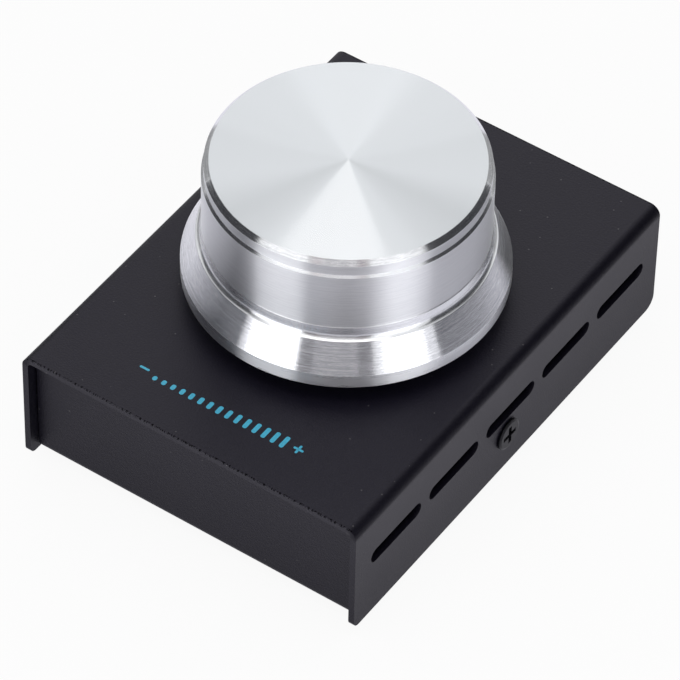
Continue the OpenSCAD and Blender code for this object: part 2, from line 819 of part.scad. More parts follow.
module usb_insulator() {
    block_w = usb_w - 2 * usb_wall - 2 * usb_block_gap;
    block_h = usb_h - 2 * usb_wall - 2 * usb_block_gap;
    tongue_root = usb_block_len / 2;
    color([0.12, 0.12, 0.13]) {
        translate([0, usb_rear_y + usb_block_len, usb_z]) rotate([90, 0, 0])
            linear_extrude(usb_block_len) stadium(block_w, block_h);
        translate([-usb_tongue_w / 2, usb_rear_y + tongue_root, usb_z - usb_tongue_t / 2])
            cube([usb_tongue_w, usb_len - tongue_root - usb_tongue_back, usb_tongue_t]);
    }
}

module usb_contacts() {
    per_side = 12;
    front_y = usb_mouth_y - usb_tongue_back - usb_tip_len;
    color([0.9, 0.76, 0.4]) for (i = [0 : per_side - 1])
        translate([(i - (per_side - 1) / 2) * usb_pitch - usb_contact_w / 2, 0, 0]) {
            for (s = [0, 1]) translate([0, 0, usb_z]) mirror([0, 0, s])
                translate([0, front_y - usb_contact_len, usb_tongue_t / 2])
                    cube([usb_contact_w, usb_contact_len, usb_contact_t]);
            translate([0, usb_rear_y - usb_tail_len, board_top_z])
                cube([usb_contact_w, usb_tail_len, lead_t]);
        }
}

// ---- Parts on the board ----

module controller_chip() {
    corner_r = 0.3;
    mark_r = 0.4;
    mark_depth = 0.1;
    mark_x = 1.2 - chip_side / 2;
    color([0.1, 0.1, 0.11]) on_board(chip_place) translate([0, 0, chip_lift]) difference() {
        linear_extrude(chip_h) round_rect(chip_side, chip_side, corner_r);
        // round mark at the first lead
        translate([mark_x, mark_x, chip_h - mark_depth]) cylinder(r = mark_r, h = past);
    }
}

module chip_leads() {
    top = chip_lift + chip_h / 2;
    knee = lead_reach / 2;
    color([0.82, 0.82, 0.82]) on_board(chip_place) for (a = [0 : 90 : 270]) rotate(a)
        for (i = [0 : lead_count - 1])
            translate([(i - (lead_count - 1) / 2) * lead_pitch - lead_w / 2, -chip_side / 2, 0])
                rotate([90, 0, 90]) linear_extrude(lead_w) polygon([
                    [0, top], [-knee, top], [-knee, lead_t], [-lead_reach, lead_t], [-lead_reach, 0],
                    [lead_t - knee, 0], [lead_t - knee, top - lead_t], [0, top - lead_t]
                ]);
}

module crystal_can() {
    rim = 0.35;
    rim_h = 0.4;
    color([0.8, 0.8, 0.81]) {
        on_board(crystal_place) {
            linear_extrude(rim_h) stadium(crystal_len, crystal_w);
            linear_extrude(crystal_h) stadium(crystal_len - 2 * rim, crystal_w - 2 * rim);
        }
        for (p = CRYSTAL_PINS) translate([p[0], p[1], board_top_z - pin_len])
            cylinder(r = crystal_pin_r, h = pin_len + rim_h / 2);
    }
}

module filter_capacitor() {
    base_side = 2 * bulk_r + 0.3;
    base_h = 0.8;
    neck = 0.2;
    neck_h = 1.2;
    bevel = 0.3;
    color([0.75, 0.76, 0.78]) on_board(bulk_place) {
        translate([-base_side / 2, -base_side / 2, 0]) cube([base_side, base_side, base_h]);
        rotate_extrude() polygon([
            [0, base_h / 2], [bulk_r - neck, base_h / 2], [bulk_r - neck, neck_h],
            [bulk_r, neck_h + bevel], [bulk_r, bulk_h - bevel], [bulk_r - bevel, bulk_h], [0, bulk_h]
        ]);
    }
}

// Small two-ended part: caps of end metal a little larger than the body between them
module chip_part(h) {
    end_len = 0.4;
    skin = 0.04;
    translate([0, 0, h / 2]) {
        cube([chip_part_len - 2 * end_len, chip_part_w - 2 * skin, h - 2 * skin], center = true);
        for (s = [-1, 1]) translate([s * (chip_part_len - end_len) / 2, 0, 0])
            cube([end_len, chip_part_w, h], center = true);
    }
}

module ceramic_capacitors() {
    color([0.72, 0.58, 0.42]) for (p = CAPS) on_board(p) chip_part(cap_h);
}

module resistors() {
    color([0.14, 0.14, 0.15]) for (p = RESISTORS) on_board(p) chip_part(resistor_h);
}

module voltage_regulator() {
    body_l = 4.5;
    body_w = 2.5;
    body_h = 1.5;
    body_lift = 0.05;
    leg_out = 0.9;
    leg_root = 0.2;
    leg_t = 0.4;
    leg_pitch = 1.5;
    tab_w = 1.6;
    leg_len = leg_out + leg_root;
    color([0.13, 0.13, 0.14]) on_board(regulator_place) {
        translate([-body_l / 2, -body_w / 2, body_lift]) cube([body_l, body_w, body_h]);
        for (i = [-1, 0, 1]) translate([i * leg_pitch - leg_t / 2, -body_w / 2 - leg_out, 0])
            cube([leg_t, leg_len, leg_t]);
        translate([-tab_w / 2, body_w / 2 - leg_root, 0]) cube([tab_w, leg_len, leg_t]);
    }
}

// Cone of solder under the board around a pin, as wide at its foot as it is tall
module solder_cone(place, pin_r, foot) {
    translate([place[0], place[1], board_z]) mirror([0, 0, 1]) rotate_extrude()
        polygon([[pin_r, 0], [pin_r + foot, 0], [pin_r + foot / 4, foot / 2], [pin_r, foot]]);
}

module solder_joints() {
    gap = 0.03;
    foot = 0.6;
    leg_foot = 0.5;
    pin_half = sqrt(pow(pin_w, 2) + pow(pin_t, 2)) / 2;
    lug_half = sqrt(pow(lug_w, 2) + pow(encoder_clip_t, 2)) / 2;
    leg_half = sqrt(pow(usb_leg_len, 2) + pow(usb_leg_t, 2)) / 2;
    color([0.78, 0.79, 0.8]) {
        for (p = PINS) solder_cone(p, pin_half + gap, foot);
        for (p = CRYSTAL_PINS) solder_cone(p, crystal_pin_r + gap, foot);
        for (p = USB_LEGS) solder_cone(p, leg_half + gap, leg_foot);
        for (s = [-1, 1]) solder_cone([s * (strap_x + encoder_clip_t / 2), 0], lug_half + gap, foot);
    }
}

top_cover();
chassis();
cover_screws();
rubber_feet();
circuit_board();
board_standoffs();
board_screws();
standoff_screws();
encoder_base();
encoder_bushing();
encoder_clip();
encoder_terminals();
contact_track();
encoder_rotor();
rotor_wiper();
detent_spring();
encoder_shaft();
shaft_ring();
switch_dome();
bushing_washer();
bushing_nut();
knob();
knob_insert();
usb_shell();
usb_insulator();
usb_contacts();
controller_chip();
chip_leads();
crystal_can();
filter_capacitor();
ceramic_capacitors();
resistors();
voltage_regulator();
solder_joints();
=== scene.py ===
"""A desk volume control: a turned aluminium knob on a folded, powder-coated steel case.

The looks of each piece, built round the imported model. Blender's lengths are in metres, so sizes
are named in millimetres and multiplied by MM.
"""

import math

import bmesh
import bpy
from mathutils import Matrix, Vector


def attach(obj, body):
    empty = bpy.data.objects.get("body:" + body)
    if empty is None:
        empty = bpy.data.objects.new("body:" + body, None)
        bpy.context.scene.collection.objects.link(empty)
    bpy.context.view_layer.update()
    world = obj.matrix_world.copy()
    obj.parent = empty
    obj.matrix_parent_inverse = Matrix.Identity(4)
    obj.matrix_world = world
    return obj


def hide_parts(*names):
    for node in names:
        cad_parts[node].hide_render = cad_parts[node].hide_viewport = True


MM = 0.001

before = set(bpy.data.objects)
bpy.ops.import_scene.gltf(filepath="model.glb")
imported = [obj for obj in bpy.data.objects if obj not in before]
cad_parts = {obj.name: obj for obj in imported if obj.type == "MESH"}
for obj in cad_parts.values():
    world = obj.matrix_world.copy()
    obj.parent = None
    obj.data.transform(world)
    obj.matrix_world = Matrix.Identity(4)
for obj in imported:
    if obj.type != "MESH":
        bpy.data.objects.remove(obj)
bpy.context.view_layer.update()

# ---- Sizes, in millimetres: heights from the desk, and the knob's own from its base ----

CASE_WIDTH = 70.0
CASE_LENGTH = 94.5
CASE_TOP = 26.5
COVER_BOTTOM = 2.0
SHEET = 1.2
COVER_BEND = 2.1
FLANGE_FRONT_CORNER = 1.5
FLANGE_BACK_CORNER = 2.5

CHASSIS_WIDTH = 67.0
CHASSIS_LENGTH = 90.5
CHASSIS_BOTTOM = 2.2
CHASSIS_TOP = 25.1
CHASSIS_BEND = 1.7
PANEL_CORNER = 1.5
TAB_LENGTH = 18.0
TAB_RELIEF = 1.0
TAB_TOP = 13.1

SLOT_LENGTH = 15.0
SLOT_HEIGHT = 3.0
SLOT_PITCH = 17.5
SLOT_MIDDLE = 15.5
NECK_HOLE_RADIUS = 3.6
SCREW_HOLE_RADIUS = 1.65
TAB_HOLE_RADIUS = 1.55
BOARD_HOLES = ((-20, -16), (20, -16), (-20, 39.7), (20, 39.7))
SOCKET_MIDDLE = 20.43
SOCKET_WIDTH = 9.54
SOCKET_HEIGHT = 3.86
BOARD_BOTTOM = 17.2
BOARD_TOP = 18.8

COVER_SCREW = (-0.7, 10.0)
SCREW_HEAD_RADIUS = 3.2
SCREW_HEAD_HEIGHT = 0.64
SCREW_RIM = 0.4
SCREW_SHANK = 1.5
SCREW_LENGTH = 6.0
CROSS_LENGTH = 4.2
CROSS_WIDTH = 0.95
CROSS_DEPTH = 0.9

KNOB_BASE = 30.0
KNOB_HEIGHT = 26.3
TOP_RADIUS = 23.9
RING_RADIUS = 24.8
RING_TOP = 25.4
RING_BOTTOM = 23.5
BAND_RADIUS = 25.2
BAND_TOP = 23.0
BAND_BOTTOM = 11.0
COVE_RADIUS = 1.15
CONE_TOP_RADIUS = 26.2
CONE_TOP = 8.6
CONE_BOTTOM = 2.9
SKIRT_RADIUS = 28.9
HOLLOW_RADIUS = 20.5
HOLLOW_TOP = 20.0
HUB_RADIUS = 9.0
HUB_BOTTOM = 3.6
BORE_RADIUS = 6.0
BORE_TOP = 16.0

FEET = ((-27, -35.25), (27, -35.25), (-27, 35.25), (27, 35.25))
FOOT_RADIUS = 4.5
FOOT_HEIGHT = 2.2
FOOT_DISH = 0.25

PRINT_THICKNESS = 0.012
SCALE_LINE = -38.7
SCALE_BARS = 15
SCALE_STROKE = 0.46
SCALE_SIGN = 2.0
MINUS_AT = -16.1
PLUS_AT = 16.2
BARS_FROM = -13.3
BARS_TO = 13.3
BAR_WIDTH = 0.85
FIRST_BAR = 1.0
LAST_BAR = 2.8

CUTTER_REACH = 40.0  # half the length of a cutter that goes right through the case
GUARD = 0.05  # how far a guard point lies from the rounding it guards

# ---- Modelling, as by hand ----


def put_down():
    """Leaves edit mode with nothing selected."""
    if bpy.context.mode != "OBJECT":
        bpy.ops.object.mode_set(mode="OBJECT")
    bpy.ops.object.select_all(action="DESELECT")


def pick_up(piece):
    """Selects one piece and makes it the active one."""
    put_down()
    piece.select_set(True)
    bpy.context.view_layer.objects.active = piece


def pick(piece, kind, wanted):
    """In edit mode, selects the vertices, edges or faces that pass a test, and nothing else."""
    mesh = bmesh.from_edit_mesh(piece.data)
    mesh.normal_update()
    for part in (mesh.faces, mesh.edges, mesh.verts):
        for item in part:
            item.select = False
    mesh.select_mode = {kind}
    bpy.context.tool_settings.mesh_select_mode = (kind == "VERT", kind == "EDGE", kind == "FACE")
    items = {"VERT": mesh.verts, "EDGE": mesh.edges, "FACE": mesh.faces}[kind]
    for item in items:
        if wanted(item):
            item.select_set(True)
    mesh.select_flush_mode()
    bmesh.update_edit_mesh(piece.data)


def middle(edge):
    """An edge's middle."""
    return (edge.verts[0].co + edge.verts[1].co) / 2


def along(edge, axis):
    """Whether an edge runs along an axis (0, 1 or 2)."""
    way = edge.verts[1].co - edge.verts[0].co
    return way.length > 1e-7 and abs(way[axis]) > 0.99 * way.length


def near(first, second):
    """Whether two lengths agree to 0.02 mm."""
    return abs(first - second) < 0.02 * MM


def finish_with(piece, kind, **settings):
    """Adds one modifier and applies it."""
    pick_up(piece)
    modifier = piece.modifiers.new(kind.lower(), kind)
    for key, value in settings.items():
        setattr(modifier, key, value)
    bpy.ops.object.modifier_apply(modifier=modifier.name)


def settle(piece, angle, even_faces=True):
    """Places the object at the origin, turns its faces outwards and smooths its soft edges."""
    pick_up(piece)
    bpy.ops.object.transform_apply(location=True, rotation=True, scale=True)
    bpy.ops.object.mode_set(mode="EDIT")
    bpy.ops.mesh.select_all(action="SELECT")
    bpy.ops.mesh.normals_make_consistent(inside=False)
    put_down()
    pick_up(piece)
    bpy.ops.object.shade_smooth_by_angle(angle=math.radians(angle))
    if even_faces:
        finish_with(piece, "WEIGHTED_NORMAL", weight=80, keep_sharp=True)
    put_down()


def cut_out(piece, *cutters):
    """Cuts each cutter's shape out of a piece."""
    for cutter in cutters:
        finish_with(piece, "BOOLEAN", object=cutter, operation="DIFFERENCE", solver="EXACT")
        bpy.data.objects.remove(cutter)


def soft_corners(outline, steps=4):
    """Rounds an outline's corners: each point is (radius, height, corner radius), in mm.

    A guard point just outside each rounding keeps the flats beside it flat.
    """
    soft = []
    last = len(outline) - 1
    for place, (radius, height, corner) in enumerate(outline):
        here = Vector((radius, height))
        if not corner or place in (0, last):
            soft.append(here)
            continue
        back = Vector(outline[place - 1][:2]) - here
        on = Vector(outline[place + 1][:2]) - here
        room = 0.45 * min(back.length, on.length)
        back.normalize()
        on.normalize()
        half = back.angle(on) / 2
        reach = min(corner / math.tan(half), room)
        corner = reach * math.tan(half)
        centre = here + (back + on).normalized() * (corner / math.sin(half))
        first = here + back * reach
        final = here + on * reach
        guard = min(GUARD, 0.5 * reach)
        soft.append(first + back * guard)
        turn_by = math.pi - 2 * half
        for step in range(steps + 1):
            share = step / steps
            to_first = math.sin((1 - share) * turn_by) / math.sin(turn_by)
            to_final = math.sin(share * turn_by) / math.sin(turn_by)
            soft.append(centre + (first - centre) * to_first + (final - centre) * to_final)
        soft.append(final + on * guard)
    return [(point.x * MM, point.y * MM) for point in soft]


def turn(name, outline, sides=256):
    """A turned piece, from an outline that starts and ends on its axis, as (radius, height)."""
    put_down()
    radius, height = outline[1]
    bpy.ops.mesh.primitive_circle_add(
        vertices=sides, radius=radius, fill_type="TRIFAN", location=(0, 0, height)
    )
    piece = bpy.context.object
    piece.name = name
    piece.data.name = name
    bpy.ops.object.transform_apply(location=True, rotation=True, scale=True)
    bpy.ops.object.mode_set(mode="EDIT")
    pick(piece, "EDGE", lambda edge: edge.is_boundary)
    for next_radius, next_height in outline[2:-1]:
        bpy.ops.mesh.extrude_region_move(
            TRANSFORM_OT_translate={"value": (0, 0, next_height - height)}
        )
        share = next_radius / radius
        if share != 1:
            bpy.ops.transform.resize(
                value=(share, share, 1), center_override=(0, 0, next_height)
            )
        radius, height = next_radius, next_height
    bpy.ops.mesh.extrude_region_move(TRANSFORM_OT_translate={"value": (0, 0, 0)})
    bpy.ops.mesh.merge(type="CENTER")
    put_down()
    return piece


def round_bar(name, length, width, corner, low, high, at=(0, 0), steps=10):
    """A bar with rounded corners, long in X, wide in Y, and from low to high in Z, in mm."""
    put_down()
    bpy.ops.mesh.primitive_plane_add(size=1, location=(at[0] * MM, at[1] * MM, low * MM))
    bar = bpy.context.object
    bar.name = name
    bar.scale = (length * MM, width * MM, 1)
    bpy.ops.object.transform_apply(location=True, rotation=True, scale=True)
    bpy.ops.object.mode_set(mode="EDIT")
    bpy.ops.mesh.select_all(action="SELECT")
    bpy.ops.mesh.bevel(offset=corner * MM, segments=steps, affect="VERTICES")
    bpy.ops.mesh.select_all(action="SELECT")
    bpy.ops.mesh.extrude_region_move(TRANSFORM_OT_translate={"value": (0, 0, (high - low) * MM)})
    bpy.ops.mesh.select_all(action="SELECT")
    bpy.ops.mesh.normals_make_consistent(inside=False)
    put_down()
    return bar


def peg(radius, low, high, at=(0, 0)):
    """A round cutter along Z, from low to high, in mm."""
    put_down()
    bpy.ops.mesh.primitive_cylinder_add(
        vertices=48,
        radius=radius * MM,
        depth=(high - low) * MM,
        location=(at[0] * MM, at[1] * MM, (low + high) / 2 * MM),
    )
    return bpy.context.object


def lay_over(piece, axis, angle):
    """Turns a piece's mesh by an angle in degrees about the origin."""
    pick_up(piece)
    bpy.ops.object.mode_set(mode="EDIT")
    bpy.ops.mesh.select_all(action="SELECT")
    bpy.ops.transform.rotate(
        value=-math.radians(angle), orient_axis=axis, center_override=(0, 0, 0)
    )
    put_down()


def turned_knob():
    """The knob: skirt, cone, cove, band with its groove, chamfered top, and the hollow below."""
    outer = [
        (0, KNOB_HEIGHT, 0),
        (TOP_RADIUS, KNOB_HEIGHT, 0.09),
        (RING_RADIUS, RING_TOP, 0.07),
        (RING_RADIUS, RING_BOTTOM, 0.04),
        (RING_RADIUS - 0.05, RING_BOTTOM - 0.1, 0.02),
        (BAND_RADIUS, BAND_TOP, 0.05),
        (BAND_RADIUS, BAND_BOTTOM + 0.3, 0.03),
        (BAND_RADIUS - 0.15, BAND_BOTTOM + 0.15, 0),
        (BAND_RADIUS, BAND_BOTTOM, 0),
    ]
    cove_middle = Vector((CONE_TOP_RADIUS + 0.3, CONE_TOP + 1.11))
    cove = []
    steps = 12
    for step in range(steps):
        angle = math.radians(180 + 75 * step / steps)
        spot = cove_middle + COVE_RADIUS * Vector((math.cos(angle), math.sin(angle)))
        cove.append((*spot, 0))
    skirt = [
        (CONE_TOP_RADIUS, CONE_TOP, 0.2),
        (SKIRT_RADIUS, CONE_BOTTOM, 0.07),
        (SKIRT_RADIUS, 0.25, 0),
        (SKIRT_RADIUS - 0.25, 0, 0),
        (HOLLOW_RADIUS, 0, 0.2),
        (HOLLOW_RADIUS, HOLLOW_TOP, 1.5),
        (HUB_RADIUS, HOLLOW_TOP, 0.8),
        (HUB_RADIUS, HUB_BOTTOM, 0.3),
        (BORE_RADIUS, HUB_BOTTOM, 0.15),
        (BORE_RADIUS, BORE_TOP, 0.1),
        (0, BORE_TOP, 0),
    ]
    outline = soft_corners(outer + cove + skirt)
    outline = [(radius, height + KNOB_BASE * MM) for radius, height in outline]
    top = outline[0][1]
    rings_on_top = [(3.0 * MM, top), (12.0 * MM, top)]
    outline[1:1] = rings_on_top
    piece = turn("turned_knob", outline)
    settle(piece, angle=35, even_faces=False)
    return piece


def vent_cutters():
    """The cutters of the vent slots: one was modelled, and each other is a copy of its own."""
    corner = SLOT_HEIGHT / 2 - 0.001
    size = (SLOT_HEIGHT, SLOT_LENGTH, corner)
    first = round_bar("slot_cutter", *size, -CUTTER_REACH, CUTTER_REACH, steps=12)
    lay_over(first, "Y", 90)
    pick_up(first)
    first.location = (0, 0, SLOT_MIDDLE * MM)
    bpy.ops.object.transform_apply(location=True, rotation=True, scale=True)
    cutters = []
    for place in range(-2, 3):
        copy = first.copy()
        copy.data = first.data.copy()
        bpy.context.scene.collection.objects.link(copy)
        copy.location = (0, place * SLOT_PITCH * MM, 0)
        cutters.append(copy)
    bpy.data.objects.remove(first)
    return cutters


def screw_hole(radius):
    """A round cutter right through the case, along X, at the cover screws."""
    cutter = peg(radius, -CUTTER_REACH, CUTTER_REACH)
    lay_over(cutter, "Y", 90)
    cutter.location = (0, COVER_SCREW[0] * MM, COVER_SCREW[1] * MM)
    return cutter


def break_edges(piece, width):
    """Takes the burr off a sheet's cut edges, by a small rounding of a width in mm."""
    finish_with(
        piece,
        "BEVEL",
        width=width * MM,
        segments=3,
        limit_method="ANGLE",
        angle_limit=math.radians(50),
    )


def case_block(name, width, length, low, high):
    """The block that a folded piece starts as."""
    put_down()
    bpy.ops.mesh.primitive_cube_add(size=1, location=(0, 0, (low + high) / 2 * MM))
    block = bpy.context.object
    block.name = name
    block.data.name = name
    block.scale = (width * MM, length * MM, (high - low) * MM)
    bpy.ops.object.transform_apply(location=True, rotation=True, scale=True)
    return block


def folded_cover():
    """The cover: one sheet bent down at both sides, with rounded flange corners and slots."""
    cover = case_block("folded_cover", CASE_WIDTH, CASE_LENGTH, COVER_BOTTOM, CASE_TOP)
    pick_up(cover)
    bpy.ops.object.mode_set(mode="EDIT")
    pick(cover, "FACE", lambda face: face.normal.z < -0.9 or abs(face.normal.y) > 0.9)
    bpy.ops.mesh.delete(type="FACE")
    foot = COVER_BOTTOM * MM
    end = CASE_LENGTH / 2 * MM
    for side, corner in ((-end, FLANGE_FRONT_CORNER), (end, FLANGE_BACK_CORNER)):
        pick(cover, "VERT", lambda vert: near(vert.co.z, foot) and near(vert.co.y, side))
        bpy.ops.mesh.bevel(offset=corner * MM, segments=10, affect="VERTICES")
    pick(cover, "EDGE", lambda edge: along(edge, 1) and near(middle(edge).z, CASE_TOP * MM))
    bpy.ops.mesh.bevel(offset=COVER_BEND * MM, segments=12, affect="EDGES")
    put_down()
    finish_with(cover, "SOLIDIFY", thickness=SHEET * MM, offset=-1, use_even_offset=True)
    neck_hole = peg(NECK_HOLE_RADIUS, CASE_TOP - 2 * SHEET, CASE_TOP + SHEET)
    cut_out(cover, *vent_cutters(), screw_hole(SCREW_HOLE_RADIUS), neck_hole)
    break_edges(cover, 0.3)
    settle(cover, angle=40)
    return cover


def folded_chassis():
    """The chassis: a floor with a front and a back panel, and a tab bent up at each side."""
    chassis = case_block(
        "folded_chassis", CHASSIS_WIDTH, CHASSIS_LENGTH, CHASSIS_BOTTOM, CHASSIS_TOP
    )
    side = CHASSIS_WIDTH / 2 * MM
    tab_end = TAB_LENGTH / 2 * MM
    relief_end = tab_end + TAB_RELIEF * MM
    root = side - (CHASSIS_BEND + 0.01) * MM
    floor = CHASSIS_BOTTOM * MM
    pick_up(chassis)
    bpy.ops.object.mode_set(mode="EDIT")
    pick(chassis, "FACE", lambda face: face.normal.z > 0.9 or abs(face.normal.x) > 0.9)
    bpy.ops.mesh.delete(type="FACE")
    pick(chassis, "VERT", lambda vert: near(vert.co.z, CHASSIS_TOP * MM))
    bpy.ops.mesh.bevel(offset=PANEL_CORNER * MM, segments=8, affect="VERTICES")
    pick(chassis, "EDGE", lambda edge: along(edge, 0) and near(middle(edge).z, floor))
    bpy.ops.mesh.bevel(offset=CHASSIS_BEND * MM, segments=10, affect="EDGES")
    for place in (-relief_end, -tab_end, tab_end, relief_end):
        pick(chassis, "FACE", lambda face: face.normal.z < -0.99)
        bpy.ops.mesh.bisect(plane_co=(0, place, 0), plane_no=(0, 1, 0))

    def at_tab(face):
        return face.normal.z < -0.99 and abs(face.calc_center_median().y) < relief_end

    for place in (-root, root):
        pick(chassis, "FACE", at_tab)
        bpy.ops.mesh.bisect(plane_co=(place, 0, 0), plane_no=(1, 0, 0))

    def in_relief(face):
        spot = face.calc_center_median()
        return abs(spot.x) > root and tab_end < abs(spot.y) < relief_end and near(spot.z, floor)

    pick(chassis, "FACE", in_relief)
    bpy.ops.mesh.delete(type="FACE")

    def tab_root(edge):
        spot = middle(edge)
        at_side = near(abs(spot.x), side) and near(spot.z, floor)
        return along(edge, 1) and at_side and abs(spot.y) < tab_end

    pick(chassis, "EDGE", tab_root)
    bpy.ops.mesh.extrude_region_move(
        TRANSFORM_OT_translate={"value": (0, 0, (TAB_TOP - CHASSIS_BOTTOM) * MM)}
    )
    pick(chassis, "EDGE", tab_root)
    bpy.ops.mesh.bevel(offset=CHASSIS_BEND * MM, segments=10, affect="EDGES")
    bpy.ops.mesh.select_all(action="SELECT")
    bpy.ops.mesh.normals_make_consistent(inside=False)
    put_down()
    bottom = max(chassis.data.polygons, key=lambda face: near(face.center.z, floor) * face.area)
    inward = -1 if bottom.normal.z < 0 else 1
    finish_with(chassis, "SOLIDIFY", thickness=SHEET * MM, offset=inward, use_even_offset=True)
    below = CHASSIS_BOTTOM - SHEET
    above = CHASSIS_BOTTOM + 2 * SHEET
    holes = [peg(SCREW_HOLE_RADIUS, below, above, spot) for spot in BOARD_HOLES]
    size = (SOCKET_WIDTH, SOCKET_HEIGHT, SOCKET_HEIGHT / 2 - 0.001)
    socket_hole = round_bar("socket_cutter", *size, -2 * SHEET, 2 * SHEET)
    lay_over(socket_hole, "X", 90)
    socket_hole.location = (0, (CHASSIS_LENGTH - SHEET) / 2 * MM, SOCKET_MIDDLE * MM)
    cut_out(chassis, *holes, socket_hole, screw_hole(TAB_HOLE_RADIUS))
    break_edges(chassis, 0.2)
    settle(chassis, angle=40)
    return chassis


def cut_cross(screw):
    """Cuts a cross recess, narrower at its bottom, into a screw head that faces up."""
    above = 0.1
    centre = SCREW_HEAD_HEIGHT + above - CROSS_DEPTH / 2
    for angle in (0, 90):
        put_down()
        bpy.ops.mesh.primitive_cube_add(size=1, location=(0, 0, centre * MM))
        arm = bpy.context.object
        arm.scale = (CROSS_LENGTH * MM, CROSS_WIDTH * MM, (CROSS_DEPTH + 2 * above) * MM)
        bpy.ops.object.transform_apply(location=True, rotation=True, scale=True)
        bpy.ops.object.mode_set(mode="EDIT")
        pick(arm, "FACE", lambda face: face.normal.z < -0.9)
        bpy.ops.transform.resize(value=(0.45, 0.8, 1), center_override=(0, 0, 0))
        put_down()
        lay_over(arm, "Z", angle)
        cut_out(screw, arm)


def thin_head_screw():
    """A screw with a thin round head, which lies on the plane Z = 0 with the shank below it."""
    outline = [
        (0, SCREW_HEAD_HEIGHT, 0),
        (SCREW_HEAD_RADIUS - 0.55, SCREW_HEAD_HEIGHT, 0.3),
        (SCREW_HEAD_RADIUS, SCREW_RIM, 0.16),
        (SCREW_HEAD_RADIUS - 0.35, 0, 0.04),
        (SCREW_SHANK, 0, 0.05),
        (SCREW_SHANK, 0.4 - SCREW_LENGTH, 0.05),
        (SCREW_SHANK - 0.4, -SCREW_LENGTH, 0.05),
        (0, -SCREW_LENGTH, 0),
    ]
    screw = turn("cover_screw", soft_corners(outline), sides=96)
    cut_cross(screw)
    settle(screw, angle=35)
    return screw


def placed(piece, turn_axis=None, angle=0, at=(0, 0, 0)):
    """A copy of a modelled piece with its own mesh, turned and moved into its place."""
    copy = piece.copy()
    copy.data = piece.data.copy()
    bpy.context.scene.collection.objects.link(copy)
    if turn_axis:
        lay_over(copy, turn_axis, angle)
    pick_up(copy)
    copy.location = tuple(value * MM for value in at)
    bpy.ops.object.transform_apply(location=True, rotation=True, scale=True)
    put_down()
    return copy


def rubber_foot():
    """A foot: a low rubber disc with a rounded rim and a shallow dish in its face."""
    outline = [
        (0, FOOT_DISH, 0),
        (FOOT_RADIUS - 1.9, FOOT_DISH, 0.4),
        (FOOT_RADIUS - 1.5, 0, 0.25),
        (FOOT_RADIUS - 0.6, 0, 0.5),
        (FOOT_RADIUS, 0.6, 0.35),
        (FOOT_RADIUS, FOOT_HEIGHT, 0.05),
        (0, FOOT_HEIGHT, 0),
    ]
    piece = turn("rubber_foot", soft_corners(outline), sides=96)
    settle(piece, angle=35)
    return piece


def join(pieces, name):
    """Joins pieces into one."""
    pick_up(pieces[0])
    for piece in pieces[1:]:
        piece.select_set(True)
    bpy.ops.object.join()
    whole = bpy.context.object
    whole.name = name
    whole.data.name = name
    put_down()
    return whole


def printed_scale():
    """The print ahead of the knob: a minus, a row of rising bars and a plus."""
    low = CASE_TOP - 0.02
    high = CASE_TOP + PRINT_THICKNESS
    marks = []
    centre_line = SCALE_LINE + LAST_BAR / 2

    def mark(width, height, x, y):
        corner = 0.45 * min(width, height)
        marks.append(round_bar("mark", width, height, corner, low, high, (x, y), steps=5))

    mark(SCALE_SIGN, SCALE_STROKE, MINUS_AT, centre_line)
    for place in range(SCALE_BARS):
        share = place / (SCALE_BARS - 1)
        height = FIRST_BAR + (LAST_BAR - FIRST_BAR) * share
        across = BARS_FROM + (BARS_TO - BARS_FROM) * share
        mark(BAR_WIDTH, height, across, SCALE_LINE + height / 2)
    mark(SCALE_SIGN, SCALE_STROKE, PLUS_AT, centre_line)
    overlap = 0.1
    arm = (SCALE_SIGN - SCALE_STROKE) / 2 + overlap
    arm_middle = (SCALE_SIGN / 2 + SCALE_STROKE / 2 - overlap) / 2
    for way in (-1, 1):
        mark(SCALE_STROKE, arm, PLUS_AT, centre_line + way * arm_middle)
    scale = join(marks, "printed_scale")
    settle(scale, angle=30)
    return scale


# ---- Shader sums ----


class Value:
    """A shader's socket, so that shader maths reads as a plain sum."""

    def __init__(self, finish, socket):
        self.finish = finish
        self.socket = socket

    def sum_of(self, operation, first, second=0.0):
        return self.finish.node("ShaderNodeMath", {"operation": operation}, {0: first, 1: second})

    def __add__(self, other):
        return self.sum_of("ADD", self, other)

    __radd__ = __add__

    def __sub__(self, other):
        return self.sum_of("SUBTRACT", self, other)

    def __rsub__(self, other):
        return self.sum_of("SUBTRACT", other, self)

    def __mul__(self, other):
        return self.sum_of("MULTIPLY", self, other)

    __rmul__ = __mul__

    def __pow__(self, other):
        return self.sum_of("POWER", self, other)

    def __gt__(self, other):
        return self.sum_of("GREATER_THAN", self, other)

    def __lt__(self, other):
        return self.sum_of("LESS_THAN", self, other)

    def __abs__(self):
        return self.sum_of("ABSOLUTE", self)


